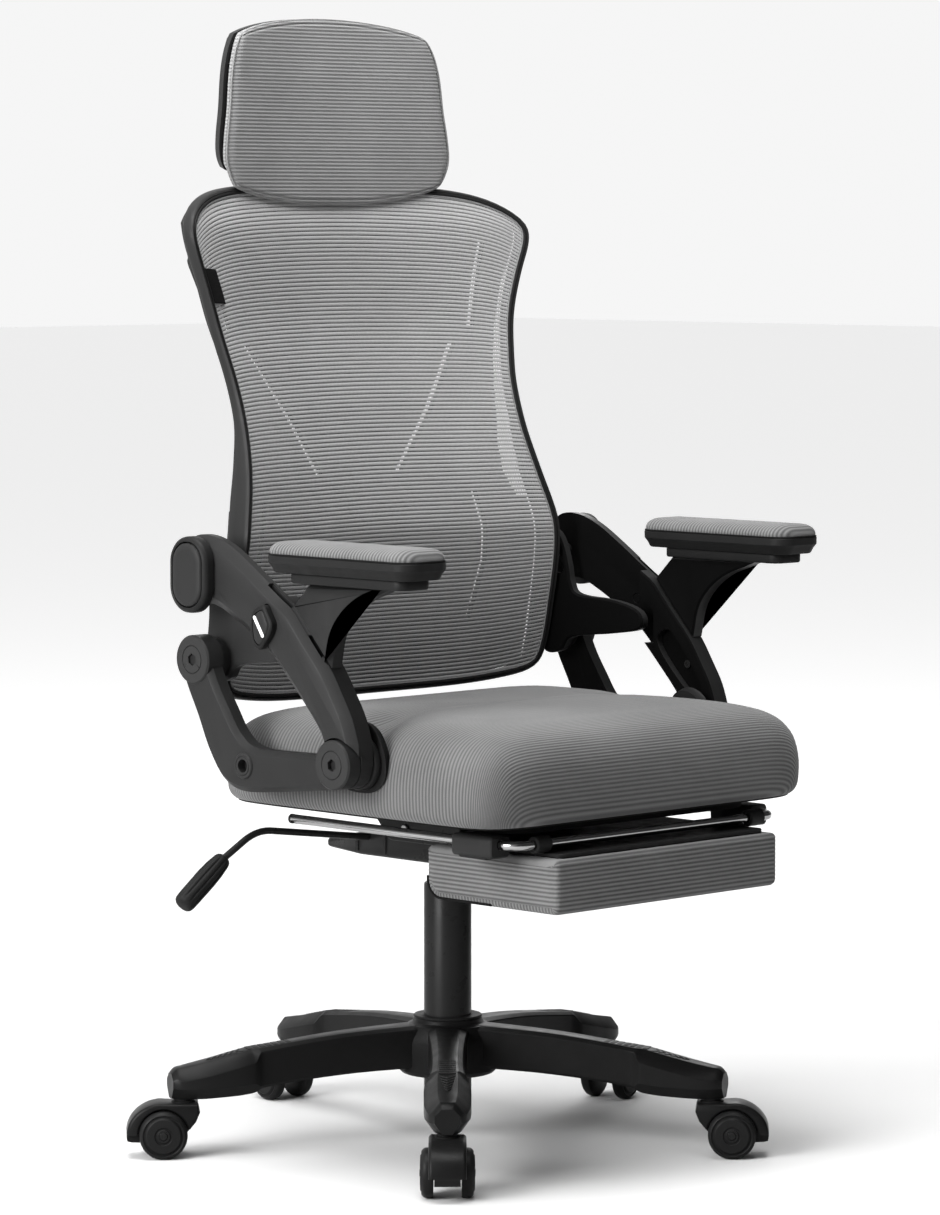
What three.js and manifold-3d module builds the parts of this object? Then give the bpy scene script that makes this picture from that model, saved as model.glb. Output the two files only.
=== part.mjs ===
// Reclining mesh-back gaming chair with a pull-out footrest.
// Millimetres, +Z up, the sitter faces -Y. Everything is modelled about the gas lift's axis,
// and the last lines move the origin to the middle of the footprint, on the floor.
import * as THREE from "three";
import { mergeVertices } from "three/addons/utils/BufferGeometryUtils.js";
import Module from "manifold-3d";

const wasm = await Module();
wasm.setup();

// ---------- driving dimensions ----------
const GAP = 0.4; // clearance between pieces that touch

const BASE_RADIUS = 300; // gas lift axis to the end of a leg
const STEM_RADIUS = 288; // gas lift axis to a caster's stem
const BASE_TURN = -134.4; // direction of the first leg, degrees from +X
const LEGS = 5;
const WHEEL_RADIUS = 25;
const CASTER_TRAIL = 21; // stem axis to wheel axle
const CASTER_DIRECTIONS = [-134.4, -48, 16, 84, 140]; // where each caster trails
const LEG_UNDERSIDE = 87;
const FLOOR = 26; // the heights in this file are above a plane 26 mm under the floor

const TUBE_RADIUS = 25;
const PISTON_RADIUS = 14;
const TUBE_TOP = 300;
const HOUSING_BOTTOM = 330;

const SEAT_HALF_WIDTH = 240;
const SEAT_FRONT = -306;
const SEAT_BACK = 112;
const SEAT_UNDERSIDE = 397;
const SEAT_TOP = 499;
const TILT_AXIS = { y: -25, z: 365 };

const RAIL_X = 189;
const RAIL_Z = 380;
const RAIL_RADIUS = 6.5;
const RAIL_FRONT = -290;
const RAIL_BACK = 33;

const REAR_PIVOT = { y: 82, z: 547 }; // the backrest reclines about this
const FRONT_PIVOT = { y: -126, z: 455 }; // each arm beam swings about this
const ARM_PIVOT = { y: -24, z: 586 }; // each arm support lifts about this
const SEAT_BOLT = { y: 6, z: 444 };
const LINK_PIN = { y: 80, z: 634 }; // arm beam to backrest, in a slot
const LINK_RATIO = 0.22; // arm beam's turn for each degree of recline
const RECLINE_DEGREES = 20;

// layers of a side frame, as distances from the middle of the seat
const BRACKET_IN = 236.8;
const BRACKET_OUT = 249.4;
const BEAM_IN = 250;
const BEAM_OUT = 279;
const SIDE_IN = 262;
const SIDE_OUT = 284;

const PAD_X = 272.5;
const PAD_WIDTH = 65;
const PAD_BACK = -45;
const PAD_FRONT = -255;
const PAD_TOP = 676;

// ---------- materials ----------
const plastic = new THREE.MeshStandardMaterial({ color: 0x2b2b2c, roughness: 0.55, metalness: 0 });
const softPlastic = new THREE.MeshStandardMaterial({ color: 0x1a1a1b, roughness: 0.75, metalness: 0 });
const steel = new THREE.MeshStandardMaterial({ color: 0x1d1d1f, roughness: 0.4, metalness: 0.7 });
const chrome = new THREE.MeshStandardMaterial({ color: 0xc8c8cc, roughness: 0.12, metalness: 1 });
const fabric = new THREE.MeshStandardMaterial({ color: 0x77787a, roughness: 0.9, metalness: 0 });
const netting = new THREE.MeshStandardMaterial({ color: 0x6c6d6f, roughness: 0.85, metalness: 0 });
const board = new THREE.MeshStandardMaterial({ color: 0x151516, roughness: 0.8, metalness: 0 });

// ---------- helpers: placing and joining ----------
const chair = new THREE.Group();
const V = (x, y, z) => new THREE.Vector3(x, y, z);
const rad = THREE.MathUtils.degToRad;

function add(name, geometry, material, parent = chair) {
  const mesh = new THREE.Mesh(geometry, material);
  mesh.name = name;
  parent.add(mesh);
  return mesh;
}

function solidOf(geometry) {
  const flat = geometry.index ? geometry.toNonIndexed() : geometry;
  const bare = new THREE.BufferGeometry().setAttribute("position", flat.getAttribute("position"));
  const merged = mergeVertices(bare, 1e-3);
  return new wasm.Manifold(
    new wasm.Mesh({
      numProp: 3,
      vertProperties: merged.attributes.position.array,
      triVerts: new Uint32Array(merged.index.array),
    }),
  );
}

function geometryOf(solid) {
  const mesh = solid.getMesh();
  const geometry = new THREE.BufferGeometry();
  geometry.setAttribute("position", new THREE.BufferAttribute(mesh.vertProperties.slice(), 3));
  geometry.setIndex(new THREE.BufferAttribute(mesh.triVerts.slice(), 1));
  return geometry;
}

function join(...parts) {
  return geometryOf(parts.map(solidOf).reduce((sum, part) => sum.add(part)));
}

function cut(body, ...tools) {
  return geometryOf(tools.map(solidOf).reduce((left, tool) => left.subtract(tool), solidOf(body)));
}

function hullOf(...parts) {
  return geometryOf(wasm.Manifold.hull(parts.map(solidOf)));
}

function overlapOf(a, b) {
  return geometryOf(solidOf(a).intersect(solidOf(b)));
}

// ---------- helpers: shapes ----------
function block(x0, x1, y0, y1, z0, z1) {
  return new THREE.BoxGeometry(x1 - x0, y1 - y0, z1 - z0).translate(
    (x0 + x1) / 2,
    (y0 + y1) / 2,
    (z0 + z1) / 2,
  );
}

function rod(radius, from, to, sides = 16) {
  const along = to.clone().sub(from);
  const turn = new THREE.Quaternion().setFromUnitVectors(V(0, 1, 0), along.clone().normalize());
  const middle = from.clone().add(to).multiplyScalar(0.5);
  return new THREE.CylinderGeometry(radius, radius, along.length(), sides)
    .applyQuaternion(turn)
    .translate(middle.x, middle.y, middle.z);
}

// A round bar along a list of points that lie in the plane square to "up".
function pipe(points, radius, up, sides = 12) {
  const rings = points.map((p, i) => {
    const before = points[Math.max(i - 1, 0)];
    const after = points[Math.min(i + 1, points.length - 1)];
    const across = after.clone().sub(before).normalize().cross(up);
    return Array.from({ length: sides }, (_, k) => {
      const a = (2 * Math.PI * k) / sides;
      const q = p.clone().addScaledVector(across, radius * Math.cos(a));
      return q.addScaledVector(up, -radius * Math.sin(a)).toArray();
    });
  });
  return loft(rings);
}

function bend(from, corner, to, count) {
  return new THREE.QuadraticBezierCurve3(from, corner, to).getPoints(count);
}

function extrude(shape, from, to, bevel, curveSegments) {
  return new THREE.ExtrudeGeometry(shape, {
    depth: to - from - 2 * bevel,
    bevelEnabled: bevel > 0,
    bevelThickness: bevel,
    bevelSize: bevel,
    bevelOffset: -bevel,
    bevelSegments: 1,
    curveSegments,
  }).translate(0, 0, from + bevel);
}

// A shape drawn in (y, z), from x0 to x1.
function sidePlate(shape, x0, x1, bevel = 0, curveSegments = 8) {
  const toSide = new THREE.Matrix4().makeBasis(V(0, 1, 0), V(0, 0, 1), V(1, 0, 0));
  return extrude(shape, x0, x1, bevel, curveSegments).applyMatrix4(toSide);
}

// A shape drawn in (x, y), from z0 to z1.
function planPlate(shape, z0, z1, bevel = 0, curveSegments = 6) {
  return extrude(shape, z0, z1, bevel, curveSegments);
}

// A shape drawn in (x, z), from y0 to y1.
function frontPlate(shape, y0, y1, bevel = 0, curveSegments = 6) {
  const toFront = new THREE.Matrix4().makeBasis(V(1, 0, 0), V(0, 0, 1), V(0, -1, 0));
  return extrude(shape, -y1, -y0, bevel, curveSegments).applyMatrix4(toFront);
}

function roundedShape(halfU, halfV, radius, cu = 0, cv = 0) {
  const shape = new THREE.Shape();
  const quarter = Math.PI / 2;
  shape.absarc(cu + halfU - radius, cv + halfV - radius, radius, 0, quarter);
  shape.absarc(cu - halfU + radius, cv + halfV - radius, radius, quarter, 2 * quarter);
  shape.absarc(cu - halfU + radius, cv - halfV + radius, radius, 2 * quarter, 3 * quarter);
  shape.absarc(cu + halfU - radius, cv - halfV + radius, radius, 3 * quarter, 4 * quarter);
  return shape;
}

function shapeOf(points) {
  return new THREE.Shape(points.map(([u, v]) => new THREE.Vector2(u, v)));
}

// Smooth points through a list of [u, v] pairs.
function smooth(points, count) {
  return new THREE.SplineCurve(points.map(([u, v]) => new THREE.Vector2(u, v)))
    .getPoints(count)
    .map((p) => [p.x, p.y]);
}

// The value at z of a smooth profile given as [z, value] pairs.
function profile(pairs) {
  return (z) => {
    const last = pairs.length - 1;
    const at = pairs.findIndex(([pz]) => pz > z);
    const i = Math.min(Math.max(at < 0 ? last : at, 1), last);
    const [z0, v0] = pairs[i - 1];
    const [z1, v1] = pairs[i];
    const before = pairs[Math.max(i - 2, 0)];
    const after = pairs[Math.min(i + 1, last)];
    const slope0 = (v1 - before[1]) / (z1 - before[0]);
    const slope1 = (after[1] - v0) / (after[0] - z0);
    const t = THREE.MathUtils.clamp((z - z0) / (z1 - z0), 0, 1);
    const h = z1 - z0;
    return (
      (2 * t ** 3 - 3 * t ** 2 + 1) * v0 +
      (t ** 3 - 2 * t ** 2 + t) * h * slope0 +
      (3 * t ** 2 - 2 * t ** 3) * v1 +
      (t ** 3 - t ** 2) * h * slope1
    );
  };
}

// A closed shell between a front and a back surface, each a function of (u, v) in 0..1.
function slab(columns, rows, front, back) {
  const positions = [];
  const width = columns + 1;
  const index = [];
  for (const surface of [front, back])
    for (let j = 0; j <= rows; j++)
      for (let i = 0; i <= columns; i++) positions.push(...surface(i / columns, j / rows));
  const half = width * (rows + 1);
  const quad = (a, b, c, d) => index.push(a, b, c, a, c, d);
  for (let j = 0; j < rows; j++)
    for (let i = 0; i < columns; i++) {
      const a = j * width + i;
      quad(a, a + 1, a + width + 1, a + width);
      quad(half + a, half + a + width, half + a + width + 1, half + a + 1);
    }
  for (let i = 0; i < columns; i++) {
    const top = rows * width + i;
    quad(i, half + i, half + i + 1, i + 1);
    quad(top, top + 1, half + top + 1, half + top);
  }
  for (let j = 0; j < rows; j++) {
    const left = j * width;
    const right = left + columns;
    quad(left, left + width, half + left + width, half + left);
    quad(right, half + right, half + right + width, right + width);
  }
  const geometry = new THREE.BufferGeometry();
  geometry.setAttribute("position", new THREE.Float32BufferAttribute(positions, 3));
  geometry.setIndex(index);
  return geometry;
}

// A closed body through rings of points, capped flat at both ends. Rings run anticlockwise from above.
function loft(rings) {
  const count = rings[0].length;
  const positions = rings.flat(2);
  const index = [];
  for (let r = 0; r < rings.length - 1; r++)
    for (let i = 0; i < count; i++) {
      const a = r * count + i;
      const b = r * count + ((i + 1) % count);
      index.push(a, b, b + count, a, b + count, a + count);
    }
  const last = (rings.length - 1) * count;
  for (let i = 1; i < count - 1; i++) {
    index.push(0, i + 1, i);
    index.push(last, last + i, last + i + 1);
  }
  const geometry = new THREE.BufferGeometry();
  geometry.setAttribute("position", new THREE.Float32BufferAttribute(positions, 3));
  geometry.setIndex(index);
  return geometry;
}

// Mirrors a geometry across the middle of the seat, keeping its faces outward.
function mirrored(geometry) {
  const flipped = (geometry.index ? geometry.toNonIndexed() : geometry.clone()).scale(-1, 1, 1);
  const p = flipped.getAttribute("position");
  for (let i = 0; i < p.count; i += 3) {
    const [x, y, z] = [p.getX(i), p.getY(i), p.getZ(i)];
    p.setXYZ(i, p.getX(i + 1), p.getY(i + 1), p.getZ(i + 1));
    p.setXYZ(i + 1, x, y, z);
  }
  return flipped;
}

// Left is the sitter's left, at +X.
function addPair(name, geometry, material) {
  add(name + "_left", geometry, material);
  add(name + "_right", mirrored(geometry), material);
}

// ---------- base ----------
function starBase() {
  const legSide = shapeOf([
    [34, 108],
    [120, 104],
    [214, 94],
    [216, 89],
    [BASE_RADIUS, LEG_UNDERSIDE],
    [BASE_RADIUS + 2, 113],
    [BASE_RADIUS - 4, 119],
    [228, 133],
    [140, 144],
    [34, 152],
  ]);
  const legPlan = shapeOf([
    [30, -21],
    [120, -16],
    [206, -17],
    [216, -23],
    [282, -22],
    [BASE_RADIUS + 2, -15],
    [BASE_RADIUS + 2, 15],
    [282, 22],
    [216, 23],
    [206, 17],
    [120, 16],
    [30, 21],
  ]);
  const toRadial = new THREE.Matrix4().makeBasis(V(1, 0, 0), V(0, 0, 1), V(0, -1, 0));
  const side = extrude(legSide, -40, 40, 0, 1).applyMatrix4(toRadial);
  const leg = overlapOf(side, planPlate(legPlan, 60, 170));
  const hub = new THREE.LatheGeometry(
    [
      [0, 98],
      [46, 98],
      [50, 104],
      [50, 138],
      [44, 150],
      [37, 152],
      [36, 158],
      [0, 158],
    ].map(([r, z]) => new THREE.Vector2(r, z)),
    20,
  ).rotateX(Math.PI / 2);
  const legs = [];
  for (let i = 0; i < LEGS; i++) {
    const turn = rad(BASE_TURN + (360 / LEGS) * i);
    legs.push(leg.clone().rotateZ(turn));
  }
  const bore = rod(TUBE_RADIUS + GAP, V(0, 0, 60), V(0, 0, 200), 24);
  return cut(join(hub, ...legs), bore);
}

add("star_base", starBase(), plastic);
add("gas_lift_tube", gasLiftTube(), steel);
add("gas_lift_piston", rod(PISTON_RADIUS, V(0, 0, 90), V(0, 0, HOUSING_BOTTOM - GAP), 16), chrome);

function gasLiftTube() {
  const tubeBody = rod(TUBE_RADIUS, V(0, 0, 76), V(0, 0, TUBE_TOP), 24);
  return cut(tubeBody, rod(PISTON_RADIUS + GAP, V(0, 0, 82), V(0, 0, 400), 16));
}

// ---------- casters: modelled trailing along +X from the stem, then turned ----------
function casterBody() {
  const under = LEG_UNDERSIDE - FLOOR; // height of the leg's underside above the floor
  const fender = new THREE.Shape();
  fender.moveTo(-15, under - 4);
  fender.lineTo(-17, 48);
  fender.lineTo(-13, 38);
  fender.lineTo(2, 20);
  fender.lineTo(30, 16);
  fender.lineTo(54, 17);
  fender.absellipse(CASTER_TRAIL, WHEEL_RADIUS, 38, 33, rad(-12), rad(84), false, 0);
  fender.lineTo(12, under - 4);
  const toRadial = new THREE.Matrix4().makeBasis(V(1, 0, 0), V(0, 0, 1), V(0, -1, 0));
  const web = extrude(fender, -13, 13, 0, 6).applyMatrix4(toRadial);
  const hood = extrude(fender, -19, 19, 2, 6).applyMatrix4(toRadial);
  const wheelRoom = rod(
    WHEEL_RADIUS + 2.5,
    V(CASTER_TRAIL, -40, WHEEL_RADIUS),
    V(CASTER_TRAIL, 40, WHEEL_RADIUS),
    20,
  );
  const below = block(-30, 80, -40, 40, -5, WHEEL_RADIUS);
  const axle = rod(4, V(CASTER_TRAIL, -24, WHEEL_RADIUS), V(CASTER_TRAIL, 24, WHEEL_RADIUS), 8);
  const stem = rod(5.5, V(0, 0, under - 8), V(0, 0, under - GAP), 10);
  return join(cut(hood, wheelRoom, below), web, axle, stem);
}

function casterWheel(side) {
  const rim = new THREE.LatheGeometry(
    [
      [4.5, 14],
      [WHEEL_RADIUS, 14],
      [WHEEL_RADIUS, 24],
      [21, 27.5],
      [4.5, 27.5],
      [4.5, 14],
    ].map(([r, y]) => new THREE.Vector2(r, y)),
    20,
  );
  const wheel = side > 0 ? rim : rim.rotateX(Math.PI);
  return wheel.translate(CASTER_TRAIL, 0, WHEEL_RADIUS);
}

for (let i = 0; i < LEGS; i++) {
  const legTurn = rad(BASE_TURN + (360 / LEGS) * i);
  const caster = new THREE.Group();
  caster.position.set(STEM_RADIUS * Math.cos(legTurn), STEM_RADIUS * Math.sin(legTurn), FLOOR);
  caster.rotation.z = rad(CASTER_DIRECTIONS[i]);
  chair.add(caster);
  add(`caster_body_${i + 1}`, casterBody(), softPlastic, caster);
  add(`caster_wheel_a_${i + 1}`, casterWheel(1), softPlastic, caster);
  add(`caster_wheel_b_${i + 1}`, casterWheel(-1), softPlastic, caster);
}

// ---------- tilt mechanism ----------
function tiltHousing() {
  const side = shapeOf([
    [-60, HOUSING_BOTTOM],
    [60, HOUSING_BOTTOM],
    [110, 334],
    [110, 343],
    [-45, 376],
    [-95, 376],
    [-95, 345],
  ]);
  return cut(sidePlate(side, -72, 72, 3, 1), rod(5 + GAP, tiltPoint(-100), tiltPoint(100), 12));
}

function tiltPoint(x) {
  return V(x, TILT_AXIS.y, TILT_AXIS.z);
}

function seatPan() {
  const flange = shapeOf([
    [-105, 384],
    [-105, 352],
    [0, 352],
    [30, 384],
  ]);
  const flanges = [sidePlate(flange, -85, -79, 0, 1), sidePlate(flange, 79, 85, 0, 1)];
  const plate = planPlate(roundedShape(100, 120, 10, 0, 0), 382, 389 - GAP);
  return cut(join(plate, ...flanges), rod(5 + GAP, tiltPoint(-100), tiltPoint(100), 12));
}

function tensionKnob() {
  const grip = new THREE.LatheGeometry(
    [
      [0, 302],
      [19, 302],
      [22, 305],
      [22, 323],
      [16, 328],
      [6, 328],
      [6, 344.3],
      [0, 344.3],
    ].map(([r, z]) => new THREE.Vector2(r, z)),
    14,
  );
  return grip.rotateX(Math.PI / 2).translate(0, -79, 0);
}

add("tilt_housing", cut(tiltHousing(), block(-8, 8, -87, -71, 300, 346)), steel);
add("seat_pan", seatPan(), steel);
add("tilt_pin", rod(5, tiltPoint(-88), tiltPoint(88), 12), chrome);
add("tension_knob", tensionKnob(), softPlastic);

// ---------- lever ----------
const LEVER_ROOT = V(-73, 45, 350);
const LEVER_BEND = V(-229, 45, 371);
const LEVER_END = V(-274, 45, 346);
const GRIP_END = V(-331, 45, 303);

function leverRod() {
  const bendIn = LEVER_BEND.clone().lerp(LEVER_ROOT, 0.13);
  const bendOut = LEVER_BEND.clone().lerp(LEVER_END, 0.4);
  const path = [LEVER_ROOT, ...bend(bendIn, LEVER_BEND, bendOut, 3), LEVER_END];
  return pipe(path, 3.6, V(0, 1, 0), 8);
}

function leverGrip() {
  const along = GRIP_END.clone().sub(LEVER_END);
  const length = along.length();
  const grip = new THREE.LatheGeometry(
    [
      [0, 0],
      [7, 0],
      [9, 4],
      [11.5, 30],
      [11, length - 6],
      [8, length],
      [0, length],
    ].map(([r, y]) => new THREE.Vector2(r, y)),
    10,
  );
  const turn = new THREE.Quaternion().setFromUnitVectors(V(0, 1, 0), along.normalize());
  const start = LEVER_END.clone().addScaledVector(along, GAP + 0.6);
  return grip.applyQuaternion(turn).translate(start.x, start.y, start.z);
}

add("lever_rod", leverRod(), steel);
add("lever_grip", leverGrip(), softPlastic);

// ---------- seat ----------
function seatRing(inset, z, bow = 0) {
  const count = 40;
  const ring = [];
  for (let i = 0; i < count; i++) {
    const a = (2 * Math.PI * i) / count;
    const [c, s] = [Math.cos(a), Math.sin(a)];
    const halfDepth = (SEAT_BACK - SEAT_FRONT) / 2 - inset;
    const square = s > 0 ? 9 : 10; // nearly a rectangle
    const x = (SEAT_HALF_WIDTH - inset) * Math.sign(c) * Math.abs(c) ** (2 / square);
    const y = halfDepth * Math.sign(s) * Math.abs(s) ** (2 / square);
    ring.push([x, (SEAT_BACK + SEAT_FRONT) / 2 + y, z + bow * (1 - (x / SEAT_HALF_WIDTH) ** 2)]);
  }
  return ring;
}

function seatCushion() {
  return loft([
    seatRing(14, SEAT_UNDERSIDE),
    seatRing(4, 402),
    seatRing(0, 412),
    seatRing(0, 446),
    seatRing(6, 464),
    seatRing(20, 481),
    seatRing(48, 492),
    seatRing(100, SEAT_TOP),
  ]);
}

add("seat_board", planPlate(roundedShape(180, 175, 40, 0, -100), 389, SEAT_UNDERSIDE - GAP), board);
add("seat_cushion", seatCushion(), fabric);

// ---------- pull-out footrest ----------
function footrestRail() {
  const corner = 18;
  const place = (x, y) => V(x, y, RAIL_Z);
  const turn = (side) => {
    const points = bend(
      place(side * RAIL_X, RAIL_FRONT + corner),
      place(side * RAIL_X, RAIL_FRONT),
      place(side * (RAIL_X - corner), RAIL_FRONT),
      5,
    );
    return side > 0 ? points.reverse() : points;
  };
  const path = [place(-RAIL_X, RAIL_BACK), ...turn(-1), ...turn(1), place(RAIL_X, RAIL_BACK)];
  return pipe(path, RAIL_RADIUS, V(0, 0, 1), 14);
}

function footrestGuide() {
  const sleeve = frontPlate(roundedShape(14, 11, 4, RAIL_X, 377.6), -268, -212, 0, 3);
  const bore = rod(RAIL_RADIUS + 0.7, V(RAIL_X, -300, RAIL_Z), V(RAIL_X, -180, RAIL_Z), 14);
  return cut(sleeve, bore);
}

function footrestFlap() {
  const eyes = [-1, 1].map((side) => hingeEye(side * 146, side * 166));
  const plate = block(-150, 150, -312, -146, 366.7, 371);
  const neck = [-1, 1].map((side) => block(side * 156 - 10, side * 156 + 10, -300, -280, 367.2, 371));
  const bore = rod(RAIL_RADIUS + 0.6, V(-172, RAIL_FRONT, RAIL_Z), V(172, RAIL_FRONT, RAIL_Z), 12);
  return cut(join(plate, ...neck, ...eyes), bore);
}

function hingeEye(x0, x1) {
  return rod(12, V(x0, RAIL_FRONT, RAIL_Z), V(x1, RAIL_FRONT, RAIL_Z), 14);
}

addPair("footrest_guide", footrestGuide(), softPlastic);
add("footrest_rail", footrestRail(), chrome);
add("footrest_flap", footrestFlap(), plastic);
add("footrest_cushion", planPlate(roundedShape(162, 92, 20, 0, -227), 312, 366.7 - GAP, 8, 3), fabric);

// ---------- side frames, drawn on the sitter's left and mirrored ----------
function disc(pivot, radius, x0, x1, sides = 20) {
  return rod(radius, V(x0, pivot.y, pivot.z), V(x1, pivot.y, pivot.z), sides);
}

// An L from the rear pivot down and forward to the front pivot, bolted to the side of the seat.
function seatBracket() {
  const outer = smooth(
    [
      [104, 536],
      [94, 515],
      [79, 488],
      [63, 456],
      [42, 429],
      [14, 418],
      [-30, 420],
      [-126, 430],
    ],
    10,
  );
  const inner = smooth(
    [
      [-124, 463],
      [-60, 462],
      [-8, 463],
      [16, 476],
      [34, 500],
      [50, 524],
      [62, 548],
    ],
    10,
  );
  const plate = sidePlate(shapeOf([...outer, ...inner]), SIDE_IN, SIDE_OUT - 2, 3, 1);
  const rearDisc = disc(REAR_PIVOT, 25, SIDE_IN, SIDE_OUT, 20);
  const frontDisc = disc(FRONT_PIVOT, 25, BEAM_OUT - 12, SIDE_OUT, 20);
  const frontPin = disc(FRONT_PIVOT, 7, 245, 275, 12);
  const seatDisc = disc(FRONT_PIVOT, 27, SEAT_HALF_WIDTH + GAP, BRACKET_OUT, 20);
  const seatBoss = disc(SEAT_BOLT, 13, SEAT_HALF_WIDTH + GAP, SIDE_IN + 5, 14);
  const beamEndRoom = disc(FRONT_PIVOT, 30, BRACKET_OUT, BEAM_OUT - 12 + GAP);
  const body = cut(join(plate, rearDisc), beamEndRoom, disc(REAR_PIVOT, 7.6, 255, 280, 14));
  return join(body, frontDisc, frontPin, seatDisc, seatBoss);
}

// The backrest's side plate: reclines on the rear pivot, and holds the slot of the arm beam's pin.
function reclineBracket() {
  const outline = smooth(
    [
      [106, 545],
      [100, 566],
      [97, 600],
      [102, 634],
      [90, 656],
      [74, 655],
      [63, 640],
      [55, 618],
      [51, 600],
      [38, 588],
      [-14, 584],
      [-50, 574],
      [-52, 556],
      [-10, 548],
      [50, 541],
      [66, 526],
      [90, 523],
      [106, 545],
    ],
    26,
  );
  const plate = sidePlate(shapeOf(outline.slice(0, -1)), BRACKET_IN, BRACKET_OUT, 2, 1);
  const boss = disc(REAR_PIVOT, 20, BRACKET_OUT - 4, SIDE_IN - GAP, 18);
  const pin = disc(REAR_PIVOT, 7, 250, 279, 12);
  return cut(join(plate, boss, pin), ...slotSteps());
}

// The pin's path as the backrest sees it, while the backrest reclines and the arm beam follows.
function slotSteps() {
  const steps = 4;
  const discs = [];
  for (let i = 0; i < steps; i++) {
    const recline = rad((RECLINE_DEGREES * i) / (steps - 1));
    const pin = turned(turned(LINK_PIN, FRONT_PIVOT, recline * LINK_RATIO), REAR_PIVOT, -recline);
    discs.push(disc(pin, 7.4, BRACKET_IN - 2, BRACKET_OUT + 2, 14));
  }
  return discs.slice(1).map((next, i) => hullOf(discs[i], next));
}

// A point turned about a pivot the way the backrest reclines: its top goes towards +Y.
function turned(point, pivot, angle) {
  const [y, z] = [point.y - pivot.y, point.z - pivot.z];
  const [c, s] = [Math.cos(angle), Math.sin(angle)];
  return { y: pivot.y + y * c + z * s, z: pivot.z + z * c - y * s };
}

const BEAM_FRONT_EDGE = [
  [-151, 476],
  [-142, 501],
  [-128, 524],
  [-111, 549],
  [-84, 578],
  [-57, 608],
];

function armBeam() {
  const underside = smooth(
    [
      [106, 612],
      [92, 604],
      [62, 604],
      [36, 594],
      [4, 577],
      [-28, 556],
      [-64, 521],
      [-96, 486],
      [-103, 466],
    ],
    12,
  );
  const foot = smooth(
    [
      [-101, 455],
      [-108, 437],
      [-126, 430],
      [-144, 437],
      [-151.5, 455],
    ],
    8,
  );
  const top = smooth(
    [
      [-54, 609],
      [-34, 621],
      [0, 643],
      [34, 663],
      [62, 673],
      [88, 673],
      [104, 660],
      [110, 636],
    ],
    11,
  );
  const outline = shapeOf([...underside, ...foot, ...BEAM_FRONT_EDGE.slice(0, -1), ...top]);
  const beam = sidePlate(outline, BEAM_IN, BEAM_OUT, 3.5, 1);
  // The upper half is thinner, and leaves room for the backrest's side plate.
  const upperRoom = sidePlate(
    shapeOf([
      [130, 560],
      [130, 700],
      [-40, 700],
      [-40, 590],
      [-60, 575],
      [-60, 540],
      [20, 540],
    ]),
    BEAM_IN - 10,
    SIDE_IN,
  );
  const discRoom = disc(FRONT_PIVOT, 27, BEAM_OUT - 12 - GAP, BEAM_OUT + 10);
  const limbRoom = block(BEAM_OUT - 12 - GAP, BEAM_OUT + 10, -126, -60, 410, 466);
  const pinHole = disc(FRONT_PIVOT, 7.6, 200, 300, 14);
  const linkHole = disc(LINK_PIN, 6.2 + GAP, 200, 300, 14);
  const buttonPocket = sidePlate(buttonShape(1), BEAM_OUT - 4.4, BEAM_OUT + 5);
  const armHole = disc(ARM_PIVOT, 5.7, SIDE_IN - 2, BEAM_OUT - 4.4, 12);
  const rooms = [discRoom, limbRoom, upperRoom, tongueRoom(), lowerHollow()];
  return cut(beam, pinHole, linkHole, armHole, buttonPocket, ...rooms);
}

// A shallow moulded pocket on the beam's inner face.
function lowerHollow() {
  const pocket = smooth(
    [
      [-100, 540],
      [-82, 556],
      [-66, 548],
      [-74, 528],
      [-110, 492],
      [-126, 490],
      [-128, 502],
      [-100, 540],
    ],
    14,
  );
  return sidePlate(shapeOf(pocket.slice(0, -1)), BEAM_IN - 5, BEAM_IN + 8);
}

// The slot in the beam that the arm support's tongue turns in.
const TONGUE_IN = 265.6;
const TONGUE_OUT = 272.2;
function tongueRoom() {
  const sweep = [];
  for (let a = 96; a <= 208; a += 16) {
    sweep.push([ARM_PIVOT.y + 80 * Math.cos(rad(a)), ARM_PIVOT.z + 80 * Math.sin(rad(a))]);
  }
  const hub = [-152, -124, -96, -68, -40, -12, 16].map((a) => [
    ARM_PIVOT.y + 16 * Math.cos(rad(a)),
    ARM_PIVOT.z + 16 * Math.sin(rad(a)),
  ]);
  return sidePlate(shapeOf([...sweep, ...hub]), TONGUE_IN, TONGUE_OUT);
}

function buttonShape(room) {
  const [halfY, halfZ] = [17 + room, 24 + room];
  return shapeOf(
    [
      [-0.25, 1],
      [-1, 0.15],
      [-0.8, -0.25],
      [0.1, -1],
      [0.75, -0.75],
      [1, 0.1],
      [0.75, 0.7],
    ].map(([u, v]) => [ARM_PIVOT.y + u * halfY, ARM_PIVOT.z + v * halfZ]),
  );
}

function linkageButton() {
  return sidePlate(buttonShape(0), BEAM_OUT - 1, BEAM_OUT + 8, 2.5, 1);
}

// The capsule-shaped head on the beam's rear end, with the pin that runs in the backrest's slot.
function reclinePin() {
  const head = sidePlate(capsule(27, 39), BEAM_OUT + GAP, BEAM_OUT + 19, 3, 4);
  const well = sidePlate(capsule(20, 32), BEAM_OUT + 12, BEAM_OUT + 25, 0, 4);
  return join(cut(head, well), disc(LINK_PIN, 6.2, BRACKET_IN + 1, BEAM_OUT + 8, 12));
}

function capsule(halfY, halfZ) {
  return roundedShape(halfY, halfZ, halfY - 0.5, LINK_PIN.y, LINK_PIN.z);
}

function reclineButton() {
  return sidePlate(capsule(19.2, 31.2), BEAM_OUT + 15.6, BEAM_OUT + 21, 2, 4);
}

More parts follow.
